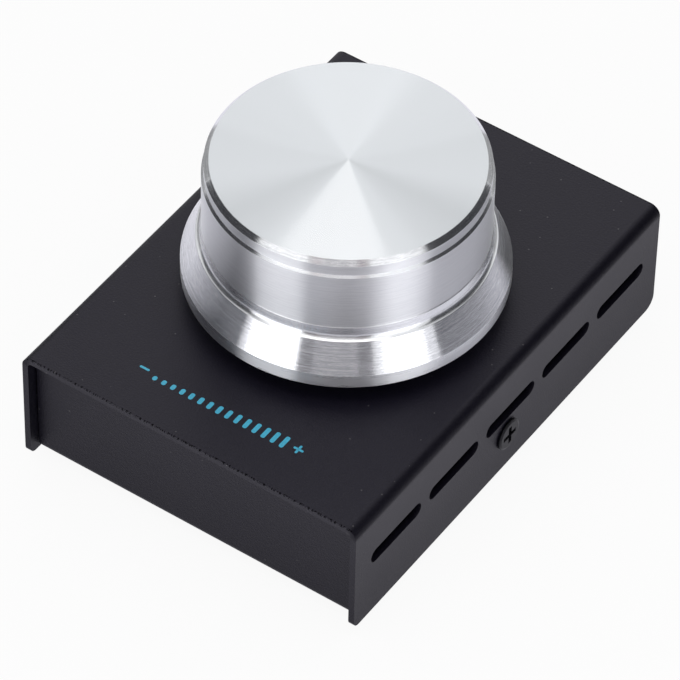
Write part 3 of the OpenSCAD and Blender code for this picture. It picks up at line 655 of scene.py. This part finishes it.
class Finish:
    """A material in the making."""

    def __init__(self, name):
        self.material = bpy.data.materials.new(name)
        self.material.use_nodes = True
        self.tree = self.material.node_tree
        self.tree.nodes.clear()

    def node(self, kind, settings=None, values=None, out=0):
        """Adds a node: its settings first, then the value or link of each of its sockets."""
        made = self.tree.nodes.new(kind)
        for key, value in (settings or {}).items():
            setattr(made, key, value)
        for key, value in (values or {}).items():
            if isinstance(value, Value):
                self.tree.links.new(value.socket, made.inputs[key])
            else:
                made.inputs[key].default_value = value
        return Value(self, made.outputs[out]) if len(made.outputs) else made

    def place(self):
        """The place on the piece, in millimetres, as a vector."""
        spot = self.node("ShaderNodeTexCoord", out="Object")
        return self.node("ShaderNodeVectorMath", {"operation": "SCALE"}, {0: spot, "Scale": 1 / MM})

    def stretched(self, vector, by):
        """A vector with each of its axes scaled."""
        return self.node("ShaderNodeVectorMath", {"operation": "MULTIPLY"}, {0: vector, 1: by})

    def axes(self, vector):
        """The three numbers of a vector."""
        split = self.node("ShaderNodeSeparateXYZ", {}, {0: vector})
        return [Value(self, socket) for socket in split.socket.node.outputs]

    def noise(self, vector, per_mm, detail, roughness=0.5):
        """Smooth noise from 0 to 1, with so many lumps to a millimetre."""
        values = {"Vector": vector, "Scale": per_mm, "Detail": detail, "Roughness": roughness}
        return self.node("ShaderNodeTexNoise", {}, values)

    def lines(self, number, per_mm, detail):
        """Noise that changes along one number only, as tool marks do."""
        values = {"W": number, "Scale": per_mm, "Detail": detail}
        return self.node("ShaderNodeTexNoise", {"noise_dimensions": "1D"}, values)

    def ramp(self, number, low, high, start=0.0, end=1.0):
        """A number taken from low..high to start..end, and held there beyond."""
        values = {0: number, 1: low, 2: high, 3: start, 4: end}
        return self.node("ShaderNodeMapRange", {"clamp": True}, values)

    def mix(self, share, first, second):
        """A colour between two, by share."""
        return self.node(
            "ShaderNodeMix", {"data_type": "RGBA"}, {0: share, 6: first, 7: second}, out=2
        )

    def bump(self, height, depth, over=None):
        """A bumped normal: a height of 1 stands a depth in millimetres above one of 0."""
        values = {"Height": height, "Distance": depth * MM, "Strength": 1.0}
        if over is not None:
            values["Normal"] = over
        return self.node("ShaderNodeBump", {}, values)

    def specks(self, vector, per_mm, size, share):
        """Round specks: cells to a millimetre, a speck's size in cells, and the share that have one."""
        settings = {"feature": "F1"}
        values = {"Vector": vector, "Scale": per_mm}
        far = self.node("ShaderNodeTexVoronoi", settings, values, out="Distance")
        cell = self.node("ShaderNodeTexVoronoi", settings, values, out="Color")
        chance = self.axes(cell)[0]
        return (far < size) * (chance < share)

    def shader(self, **values):
        """A shader: each value is set on, or linked to, the socket of that name."""
        sockets = {key.replace("_", " "): value for key, value in values.items()}
        return self.node("ShaderNodeBsdfPrincipled", {}, sockets)

    def shown(self, surface):
        """The material, with this shader as its surface."""
        self.node("ShaderNodeOutputMaterial", {}, {"Surface": surface})
        return self.material

    def coat(self, **values):
        """The material, with one shader of these values."""
        return self.shown(self.shader(**values))


def grey(level, warmth=0.0):
    """A colour of one level, a little warmer or cooler."""
    return (level * (1 + warmth), level, level * (1 - warmth), 1.0)


# ---- Finishes ----


def powder_coat(name, gloss):
    """Black powder coat: fine grain, a soft sheen, and a few specks of dust.

    Painted shade: a dark matte shader dims the sheen on upright faces (most near the bottom), at the
    side folds, and in short stretches along the cut top edges.
    """
    black = (0.0034, 0.0029, 0.0080, 1)
    worn_black = (0.0064, 0.0056, 0.0125, 1)
    dust_grey = (0.065, 0.062, 0.068, 1)
    # The colour of the painted shade: near black, with no sheen.
    painted_shade_black = (0.0015, 0.0015, 0.0018, 1)
    rim = 0.3

    f = Finish(name)
    spot = f.place()
    x, y, z = f.axes(spot)
    cloud = f.noise(spot, 0.06, 3.0)
    grain = f.noise(spot, 2.6, 3.0, 0.6)
    fine = f.noise(spot, 9.0, 2.0, 0.6)
    dust = f.specks(spot, 0.6, 0.09, 0.16)
    shade = f.mix(f.ramp(grain, 0.3, 0.7), black, worn_black)
    enamel = f.shader(
        Base_Color=f.mix(dust, shade, dust_grey),
        Roughness=0.38 + 0.05 * cloud + 0.09 * (grain - 0.5),
        Specular_IOR_Level=gloss,
        Specular_Tint=(0.93, 0.90, 1.0, 1),
        Normal=f.bump(fine, 0.012, over=f.bump(grain, 0.06)),
    )
    # A dark matte shader that paints shade where it is mixed in over the coat.
    painted_shade_matte = f.node("ShaderNodeBsdfDiffuse", {}, {"Color": painted_shade_black})
    # Painted shade in short stretches along the cut top edges.
    cut_edge = (abs(y) > CASE_LENGTH / 2 - rim) * (z > CASE_TOP - rim)
    along_edge = f.noise(f.stretched(spot, (1.0, 0.3, 0.3)), 2.4, 3.0, 0.65)
    painted_edge_shade = cut_edge * f.ramp(along_edge, 0.50, 0.55, 0.0, 0.9)
    # Painted shade on the upright faces, darker towards the bottom.
    upright = f.ramp(z, CASE_TOP - COVER_BEND - 0.2, CASE_TOP - rim, 1.0, 0.0)
    painted_low_shade = upright * f.ramp(z, 4.0, 24.0, 0.36, 0.14)
    # Painted shade along the side folds.
    painted_fold_shade = f.ramp(z, 24.0, 25.0) * f.ramp(abs(x), 33.0, 34.0, 0.0, 0.35)
    # How much painted shade each spot gets.
    painted_shade_share = f.ramp(painted_edge_shade + painted_low_shade + painted_fold_shade, 0.0, 1.0)
    return f.shown(f.node("ShaderNodeMixShader", {}, {0: painted_shade_share, 1: enamel, 2: painted_shade_matte}))


def turned_aluminium():
    """Turned aluminium: fine tool lines round the axis, so that it shines in fans and bars.

    The top face and the skirt's edge shine as if they leaned by a few degrees, as the cut of the
    tool makes them. A sloped bump does that.
    """
    dull = (0.66, 0.674, 0.706, 1)
    bright = (0.89, 0.903, 0.926, 1)
    # Painted shade: the top face gets its own darker, cooler copy of the metal, set for how it shows
    # under the lamps.
    painted_shade_top_metal = (0.712, 0.738, 0.766, 1)
    top_slope = math.tan(math.radians(13.0))
    edge_slope = math.tan(math.radians(9.0))
    top_plane = KNOB_HEIGHT - 0.03

    f = Finish("turned_aluminium")
    spot = f.place()
    x, y, z = f.axes(spot)
    radius = (x * x + y * y) ** 0.5
    height = z - KNOB_BASE
    across = height + radius * 0.47

    top_face = height > top_plane
    chamfer = (height > RING_TOP) * (height < top_plane)
    ring = (height > RING_BOTTOM - 0.05) * (height < RING_TOP)
    groove = (height > BAND_TOP) * (height < RING_BOTTOM - 0.08)
    band = (height > BAND_BOTTOM) * (height < BAND_TOP)
    cove = (height > CONE_TOP) * (height < BAND_BOTTOM)
    cone = (height < CONE_TOP) * (height > CONE_BOTTOM)
    edge = height < CONE_BOTTOM
    hollow = (radius < HOLLOW_RADIUS + 0.1) * (height < HOLLOW_TOP + 1)
    side = 1 - top_face

    lines = f.lines(across, 4.2, 3.0)
    broad = f.lines(across, 0.9, 2.0)
    on_top = f.lines(radius, 3.4, 3.0)
    scratches = f.noise(f.stretched(spot, (0.22, 0.22, 4.5)), 1.0, 4.0, 0.65)
    short = f.noise(f.stretched(spot, (0.7, 0.7, 3.6)), 1.2, 4.0, 0.75)

    polish = 0.13 * cone + 0.12 * cove + 0.16 * groove + 0.16 * chamfer
    polish = polish + 0.09 * top_face + 0.05 * edge
    uneven = (0.04 * (broad - 0.5) + 0.1 * (scratches - 0.5)) * side
    rough = 0.34 + 0.02 * band + 0.06 * ring + 0.1 * hollow + uneven - polish

    marks = (0.45 * lines + 0.55 * scratches - 0.5) * (0.55 + 0.6 * cone + 0.6 * chamfer)
    marks = marks + (short - 0.5) * (0.15 + 0.75 * cone + 0.75 * chamfer)
    turned = f.mix(f.ramp(marks * side, -0.2, 0.2), dull, bright)

    top_lean = top_slope * (TOP_RADIUS - radius) * top_face
    edge_lean = edge_slope * (CONE_BOTTOM - height) * edge * (1 - hollow)
    cut = (0.5 * lines + 0.7 * scratches + 0.5 * short) * side
    cut = cut * (0.4 + 0.9 * cone + 1.2 * chamfer + 1.6 * hollow) + 0.04 * on_top * top_face
    fan = f.bump(top_lean + edge_lean, 1.0)
    # The top face wears the painted-shade copy of the metal.
    return f.coat(
        Base_Color=f.mix(top_face, turned, painted_shade_top_metal),
        Metallic=1.0,
        Roughness=rough,
        Anisotropic=1.0,
        Anisotropic_Rotation=0.25,
        Normal=f.bump(cut, 0.004, over=fan),
    )


def blackened_steel(name="blackened_steel"):
    """Black oxide on steel: dark, glossy, a little rubbed."""
    f = Finish(name)
    spot = f.place()
    rubbed = f.noise(spot, 1.6, 4.0, 0.6)
    fine = f.noise(spot, 16.0, 2.0)
    colour = f.mix(f.ramp(rubbed, 0.4, 0.75), (0.004, 0.004, 0.006, 1), (0.013, 0.013, 0.016, 1))
    return f.coat(
        Base_Color=colour,
        Metallic=0.4,
        Roughness=0.36 + 0.2 * rubbed,
        Specular_IOR_Level=0.2,
        Normal=f.bump(fine, 0.01),
    )


def rubber():
    """Black rubber: matt, finely pitted, a little dusty."""
    f = Finish("black_rubber")
    spot = f.place()
    cloud = f.noise(spot, 0.8, 3.0)
    pits = f.noise(spot, 9.0, 3.0, 0.7)
    dust = f.ramp(cloud, 0.45, 0.8)
    colour = f.mix(dust, (0.011, 0.011, 0.011, 1), (0.026, 0.025, 0.024, 1))
    return f.coat(
        Base_Color=colour,
        Roughness=0.72 + 0.16 * pits,
        Specular_IOR_Level=0.35,
        Normal=f.bump(pits, 0.02),
    )


def scale_ink():
    """Pale blue ink, printed on the coat and grained by it."""
    f = Finish("pale_blue_ink")
    spot = f.place()
    grain = f.noise(spot, 5.5, 3.0, 0.6)
    thin = f.noise(spot, 2.0, 4.0, 0.7)
    colour = f.mix(f.ramp(thin, 0.3, 0.7), (0.045, 0.37, 0.56, 1), (0.07, 0.47, 0.66, 1))
    return f.coat(
        Base_Color=colour,
        Roughness=0.5 + 0.1 * grain,
        Specular_IOR_Level=0.35,
        Normal=f.bump(grain, 0.012),
    )


def circuit_board():
    """Green solder mask over copper tracks, with the bare glass laminate at the cut edges."""
    f = Finish("green_circuit_board")
    spot = f.place()
    flat = f.stretched(spot, (1.0, 1.0, 0.0))
    z = f.axes(spot)[2]
    faces = (z > BOARD_TOP - 0.03) + (z < BOARD_BOTTOM + 0.03)
    cells = {"Vector": flat, "Scale": 0.32}
    settings = {"feature": "DISTANCE_TO_EDGE"}
    apart = f.node("ShaderNodeTexVoronoi", settings, cells, out="Distance")
    track = f.ramp(apart, 0.035, 0.05, 1.0, 0.0)
    weave = f.noise(flat, 1.8, 2.0)
    mask = f.mix(f.ramp(weave, 0.3, 0.7), (0.006, 0.085, 0.035, 1), (0.010, 0.115, 0.048, 1))
    tracked = f.mix(track, mask, (0.028, 0.21, 0.075, 1))
    layers = f.noise(f.stretched(spot, (0.2, 0.2, 8.0)), 1.0, 2.0)
    laminate = f.mix(layers, (0.22, 0.20, 0.09, 1), (0.36, 0.33, 0.17, 1))
    return f.coat(
        Base_Color=f.mix(faces, laminate, tracked),
        Roughness=0.72 - 0.42 * faces + 0.06 * weave,
        Normal=f.bump(track, 0.03),
    )


def bright_metal(name, dark, light, rough, mark_depth=0.004, per_mm=6.0, stretch=(1, 1, 6)):
    """A plated or plain metal: a little uneven in colour and gloss, with fine tool marks."""
    f = Finish(name)
    spot = f.place()
    cloud = f.noise(spot, 0.5, 3.0)
    marks = f.noise(f.stretched(spot, stretch), per_mm, 3.0, 0.6)
    colour = f.mix(f.ramp(cloud, 0.3, 0.7), dark, light)
    return f.coat(
        Base_Color=colour,
        Metallic=1.0,
        Roughness=rough - 0.05 + 0.1 * marks + 0.06 * cloud,
        Normal=f.bump(marks, mark_depth),
    )


def moulded_plastic(name, dark, light, rough):
    """Moulded plastic: spark-eroded texture, and a slow change in gloss."""
    f = Finish(name)
    spot = f.place()
    cloud = f.noise(spot, 0.35, 2.0)
    texture = f.noise(spot, 11.0, 3.0, 0.65)
    colour = f.mix(f.ramp(texture, 0.3, 0.7), dark, light)
    return f.coat(
        Base_Color=colour,
        Roughness=rough + 0.08 * cloud + 0.06 * texture,
        Specular_IOR_Level=0.45,
        Normal=f.bump(texture, 0.010),
    )


def tan_ceramic():
    """Tan ceramic with a fine fired grain."""
    f = Finish("tan_ceramic")
    spot = f.place()
    grain = f.noise(spot, 12.0, 3.0, 0.7)
    colour = f.mix(f.ramp(grain, 0.3, 0.7), (0.30, 0.17, 0.085, 1), (0.42, 0.26, 0.14, 1))
    return f.coat(Base_Color=colour, Roughness=0.42 + 0.12 * grain, Normal=f.bump(grain, 0.006))


def wear(piece, material):
    """Puts one material on a piece or on a carried-over node."""
    slots = piece.data.materials
    while len(slots):
        slots.pop()
    slots.append(material)


# ---- Pieces ----

cover_coat = powder_coat("powder_coat_cover", 0.31)
chassis_coat = powder_coat("powder_coat_chassis", 0.26)
aluminium = turned_aluminium()
black_screw = blackened_steel()
foot_rubber = rubber()

knob = turned_knob()
wear(knob, aluminium)
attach(knob, "knob")
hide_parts("knob")

cover = folded_cover()
wear(cover, cover_coat)
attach(cover, "housing")
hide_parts("top_cover")

chassis = folded_chassis()
wear(chassis, chassis_coat)
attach(chassis, "housing")
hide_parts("chassis")

print_marks = printed_scale()
wear(print_marks, scale_ink())
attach(print_marks, "housing")

screw_pattern = thin_head_screw()
for side, name in ((-1, "cover_screw_left"), (1, "cover_screw_right")):
    screw = placed(screw_pattern, "Y", side * 90, (side * CASE_WIDTH / 2, *COVER_SCREW))
    screw.name = name
    wear(screw, black_screw)
    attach(screw, "housing")
    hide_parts("cover_screws")
bpy.data.objects.remove(screw_pattern)

foot_pattern = rubber_foot()
for place, spot in enumerate(FEET):
    foot = placed(foot_pattern, at=(*spot, 0))
    foot.name = f"rubber_foot_{place + 1}"
    wear(foot, foot_rubber)
    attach(foot, "housing")
    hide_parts("rubber_feet")
bpy.data.objects.remove(foot_pattern)

# ---- Finishes of the carried-over nodes ----

steel = bright_metal("nickel_plated_steel", (0.52, 0.51, 0.49, 1), (0.66, 0.65, 0.62, 1), 0.28)
brass = bright_metal("turned_brass", (0.62, 0.43, 0.17, 1), (0.78, 0.57, 0.26, 1), 0.27)
zinc = bright_metal("die_cast_zinc", (0.42, 0.42, 0.43, 1), (0.55, 0.55, 0.56, 1), 0.42, 0.012)
spring = bright_metal("spring_steel", (0.44, 0.43, 0.41, 1), (0.58, 0.57, 0.55, 1), 0.3, 0.005)
gold = bright_metal("gold_plating", (0.83, 0.55, 0.2, 1), (0.95, 0.69, 0.32, 1), 0.2, 0.003)
tin = bright_metal("bright_tin", (0.62, 0.62, 0.61, 1), (0.78, 0.78, 0.77, 1), 0.24, 0.014, 3.0)
shaft_steel = bright_metal(
    "ground_steel", (0.5, 0.5, 0.5, 1), (0.6, 0.6, 0.6, 1), 0.26, 0.004, 2.0, (1, 1, 8)
)
black_plastic = moulded_plastic(
    "black_plastic", (0.012, 0.012, 0.013, 1), (0.02, 0.02, 0.021, 1), 0.42
)
white_plastic = moulded_plastic("white_plastic", (0.62, 0.61, 0.57, 1), (0.74, 0.73, 0.69, 1), 0.38)
ceramic = tan_ceramic()

NODE_FINISHES = {
    "circuit_board": circuit_board(),
    "board_standoffs": brass,
    "board_screws": steel,
    "standoff_screws": blackened_steel("black_zinc_steel"),
    "encoder_base": black_plastic,
    "encoder_bushing": zinc,
    "encoder_clip": steel,
    "encoder_terminals": tin,
    "contact_track": gold,
    "encoder_rotor": white_plastic,
    "rotor_wiper": spring,
    "detent_spring": spring,
    "encoder_shaft": shaft_steel,
    "shaft_ring": spring,
    "switch_dome": spring,
    "bushing_washer": steel,
    "bushing_nut": steel,
    "knob_insert": brass,
    "usb_shell": steel,
    "usb_insulator": black_plastic,
    "usb_contacts": gold,
    "controller_chip": black_plastic,
    "chip_leads": tin,
    "crystal_can": steel,
    "filter_capacitor": bright_metal(
        "capacitor_can", (0.6, 0.6, 0.6, 1), (0.72, 0.72, 0.72, 1), 0.22
    ),
    "ceramic_capacitors": ceramic,
    "resistors": moulded_plastic(
        "resistor_body", (0.03, 0.03, 0.035, 1), (0.06, 0.06, 0.065, 1), 0.35
    ),
    "voltage_regulator": black_plastic,
    "solder_joints": tin,
}
for node_name, material in NODE_FINISHES.items():
    wear(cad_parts[node_name], material)

# ---- Studio: azimuths in degrees from the camera's side, lengths in metres ----

CAMERA_AZIMUTH = -56.1
CAMERA_LENS = 288.425
CAMERA_PLACE = (0.368004, -0.547764, 0.710442)
CAMERA_TURN = (0.756467, -0.015065, 0.608728)

SOFTBOX_DISTANCE = 0.8
SOFTBOX_STEP = 0.32
SOFTBOX_TOP = 1.39
LEFT_SOFTBOX = (-61.0, -28.0)
RIGHT_SOFTBOX = (18.0, 55.0)
FLAG_DISTANCE = 0.16
BACK_DISTANCE = 0.9
GREY_CARD_DISTANCE = 0.7
GREY_CARD_TOP = 0.95
OVERHEAD = 0.8
KNOB_TOP = (KNOB_BASE + KNOB_HEIGHT) * MM
IN_FRONT = 0.01

camera_data = bpy.data.cameras.new("camera")
camera_data.lens = CAMERA_LENS
camera_data.sensor_width = 36
camera_data.clip_start = 0.01
camera_data.clip_end = 50
camera = bpy.data.objects.new("camera", camera_data)
camera.location = CAMERA_PLACE
camera.rotation_euler = CAMERA_TURN
bpy.context.scene.collection.objects.link(camera)
bpy.context.scene.camera = camera
bpy.context.scene.view_settings.view_transform = "Standard"


def towards(azimuth):
    """The level direction of a studio azimuth."""
    turned = math.radians(CAMERA_AZIMUTH + azimuth)
    return Vector((math.cos(turned), math.sin(turned), 0))


def up(height):
    """Straight up, by so much."""
    return Vector((0, 0, height))


def graded(name, colour, low, high, at_foot, above):
    """A card's shade, from one level at a low height to another at a high one."""
    f = Finish(name)
    spot = f.node("ShaderNodeTexCoord", out="Object")
    level = f.ramp(f.axes(spot)[2], low, high, at_foot, above)
    return f.shown(f.node("ShaderNodeEmission", {}, {"Color": colour, "Strength": level}))


def glow(name, strength, warmth=0.0):
    """The shade of a lit diffuser."""
    f = Finish(name)
    values = {"Color": grey(1.0, warmth), "Strength": strength}
    return f.shown(f.node("ShaderNodeEmission", {}, values))


def board(name, spots, material):
    """A studio board through four spots, seen only in reflections."""
    put_down()
    bpy.ops.mesh.primitive_plane_add(size=1)
    made = bpy.context.object
    made.name = name
    for vert, spot in zip(made.data.vertices, spots):
        vert.co = spot
    wear(made, material)
    made.visible_camera = False
    made.visible_diffuse = False
    made.visible_shadow = False
    made.visible_transmission = False


def card(name, first, last, distance, low, high, material, narrower=(0, 0)):
    """An upright card from one azimuth to another, perhaps narrower at its top."""
    reach = distance / math.cos(math.radians((last - first) / 2))
    first_foot = towards(first) * reach
    last_foot = towards(last) * reach
    first_top = first_foot.lerp(last_foot, narrower[0])
    last_top = last_foot.lerp(first_foot, narrower[1])
    spots = [first_foot + up(low), last_foot + up(low), first_top + up(high), last_top + up(high)]
    board(name, spots, material)


def area_lamp(name, width, length, radiance, spot, facing):
    """A rectangular lamp, even all over."""
    data = bpy.data.lights.new(name, "AREA")
    data.shape = "RECTANGLE"
    data.size = width
    data.size_y = length
    data.energy = radiance * math.pi * width * length
    lamp = bpy.data.objects.new(name, data)
    lamp.location = spot
    lamp.rotation_euler = facing
    bpy.context.scene.collection.objects.link(lamp)
    return lamp


def softbox(name, sides, low, high, radiance):
    """An upright softbox between two azimuths, facing the knob."""
    first, last = sides
    width = 2 * SOFTBOX_DISTANCE * math.tan(math.radians((last - first) / 2))
    middle_way = towards((first + last) / 2)
    spot = middle_way * SOFTBOX_DISTANCE + up((low + high) / 2)
    facing = (-middle_way).to_track_quat("-Z", "Z").to_euler()
    area_lamp(name, width, high - low, radiance, spot, facing)


def overhead_spot(ahead, across):
    """A spot of the overhead diffuser, in shares of its height over the knob."""
    return (towards(0) * ahead + towards(90) * across) * OVERHEAD + up(OVERHEAD + KNOB_TOP)


for name, sides in (("left_softbox", LEFT_SOFTBOX), ("right_softbox", RIGHT_SOFTBOX)):
    softbox(name + "_low", sides, 0.0, SOFTBOX_STEP, 2.1)
    softbox(name + "_high", sides, SOFTBOX_STEP, SOFTBOX_TOP, 0.08)

strip_turn = (0, 0, math.radians(CAMERA_AZIMUTH))
strip_spot = overhead_spot(0.15, -0.12)
strip = area_lamp("overhead_strip", 0.30 * OVERHEAD, 0.94 * OVERHEAD, 2.0, strip_spot, strip_turn)
strip.visible_glossy = False
diffuser_spots = [
    overhead_spot(0.0, -0.42),
    overhead_spot(0.30, -0.65),
    overhead_spot(0.0, 0.21),
    overhead_spot(0.30, 0.33),
]
board("overhead_diffuser", diffuser_spots, glow("overhead_glow", 3.1, 0.04))

left_flag = graded("left_black_flag", (0.96, 0.97, 1.06, 1), 0.02, 0.07, 0.2, 0.05)
right_flag = graded("right_black_flag", (0.96, 0.97, 1.06, 1), 0.02, 0.07, 0.17, 0.05)
back_card = graded("grey_back_card", (1, 1, 1, 1), 0.0, 0.1, 0.36, 0.32)
card("left_flag", -116, -61, FLAG_DISTANCE, 0.0, 0.26, left_flag, narrower=(0, 0.12))
card("right_flag", 55, 118, FLAG_DISTANCE, 0.0, 0.27, right_flag, narrower=(0.09, 0))
card("left_back_card", -146, -116, FLAG_DISTANCE, 0.0, 0.1, back_card)
card("right_back_card", 118, 146, FLAG_DISTANCE, 0.0, 0.1, back_card)

middle_distance = BACK_DISTANCE - IN_FRONT
card("back_diffuser", 162, 198, BACK_DISTANCE, 0.1, 0.9, glow("back_glow", 1.1))
card("back_diffuser_middle", 172, 188, middle_distance, 0.1, 0.9, glow("back_middle_glow", 1.25))

grey_card = graded("grey_card", (1.0, 0.97, 0.99, 1), 0.25, 0.75, 0.27, 0.74)
left_frame = graded("left_softbox_frame", (1.0, 0.93, 0.95, 1), 0.25, 0.75, 0.05, 0.8)
right_frame = graded("right_softbox_frame", (1.0, 0.90, 0.93, 1), 0.25, 0.75, 0.05, 0.6)
frame_distance = GREY_CARD_DISTANCE - IN_FRONT
card("camera_side_card", -28, 18, GREY_CARD_DISTANCE, 0.0, GREY_CARD_TOP, grey_card)
card("left_frame_card", -28, -18.5, frame_distance, 0.0, GREY_CARD_TOP, left_frame)
card("right_frame_card", 8.5, 17, frame_distance, 0.0, GREY_CARD_TOP, right_frame)

# ---- Floor and world ----

FLOOR_SHARE = 0.92
MIRRORED_FLOOR_SHARE = 0.97
LIGHT_LEVEL = 0.62


def ways_of_seeing(f):
    """How a ray came: straight from the camera, off something glossy, or through something."""
    path = f.node("ShaderNodeLightPath", out="Is Camera Ray").socket.node
    names = ("Is Camera Ray", "Is Glossy Ray", "Is Transmission Ray")
    return [Value(f, path.outputs[name]) for name in names]


def pale_floor():
    """A pale floor that shows as white and keeps the object's soft shadow."""
    f = Finish("pale_floor")
    lit = f.node("ShaderNodeBsdfDiffuse", {}, {"Color": grey(0.92)})
    straight, reflected, through = ways_of_seeing(f)
    cool_white = (0.945, 0.93, 1.0, 1)
    tint = f.mix(reflected, grey(1.0), cool_white)
    white = f.node("ShaderNodeEmission", {}, {"Color": tint, "Strength": 1.0})
    seen = FLOOR_SHARE * straight + MIRRORED_FLOOR_SHARE * reflected + FLOOR_SHARE * through
    share = f.ramp(seen, 0.0, 1.0)
    return f.shown(f.node("ShaderNodeMixShader", {}, {0: share, 1: lit, 2: white}))


put_down()
bpy.ops.mesh.primitive_plane_add(size=12, location=(0, 0, 0))
floor = bpy.context.object
floor.name = "floor"
wear(floor, pale_floor())

world = bpy.data.worlds.new("studio")
bpy.context.scene.world = world
world.use_nodes = True
world.cycles.sampling_method = "NONE"  # its light is even, so no part of it needs more rays


class Air(Finish):
    """The world's own nodes."""

    def __init__(self, surroundings):
        self.tree = surroundings.node_tree
        self.tree.nodes.clear()


air = Air(world)
straight, reflected, through = ways_of_seeing(air)
level = air.ramp(straight + reflected + through, 0.0, 1.0, LIGHT_LEVEL, 1.0)
daylight = air.node("ShaderNodeBackground", {}, {"Color": grey(1.0), "Strength": level})
air.node("ShaderNodeOutputWorld", {}, {"Surface": daylight})

put_down()
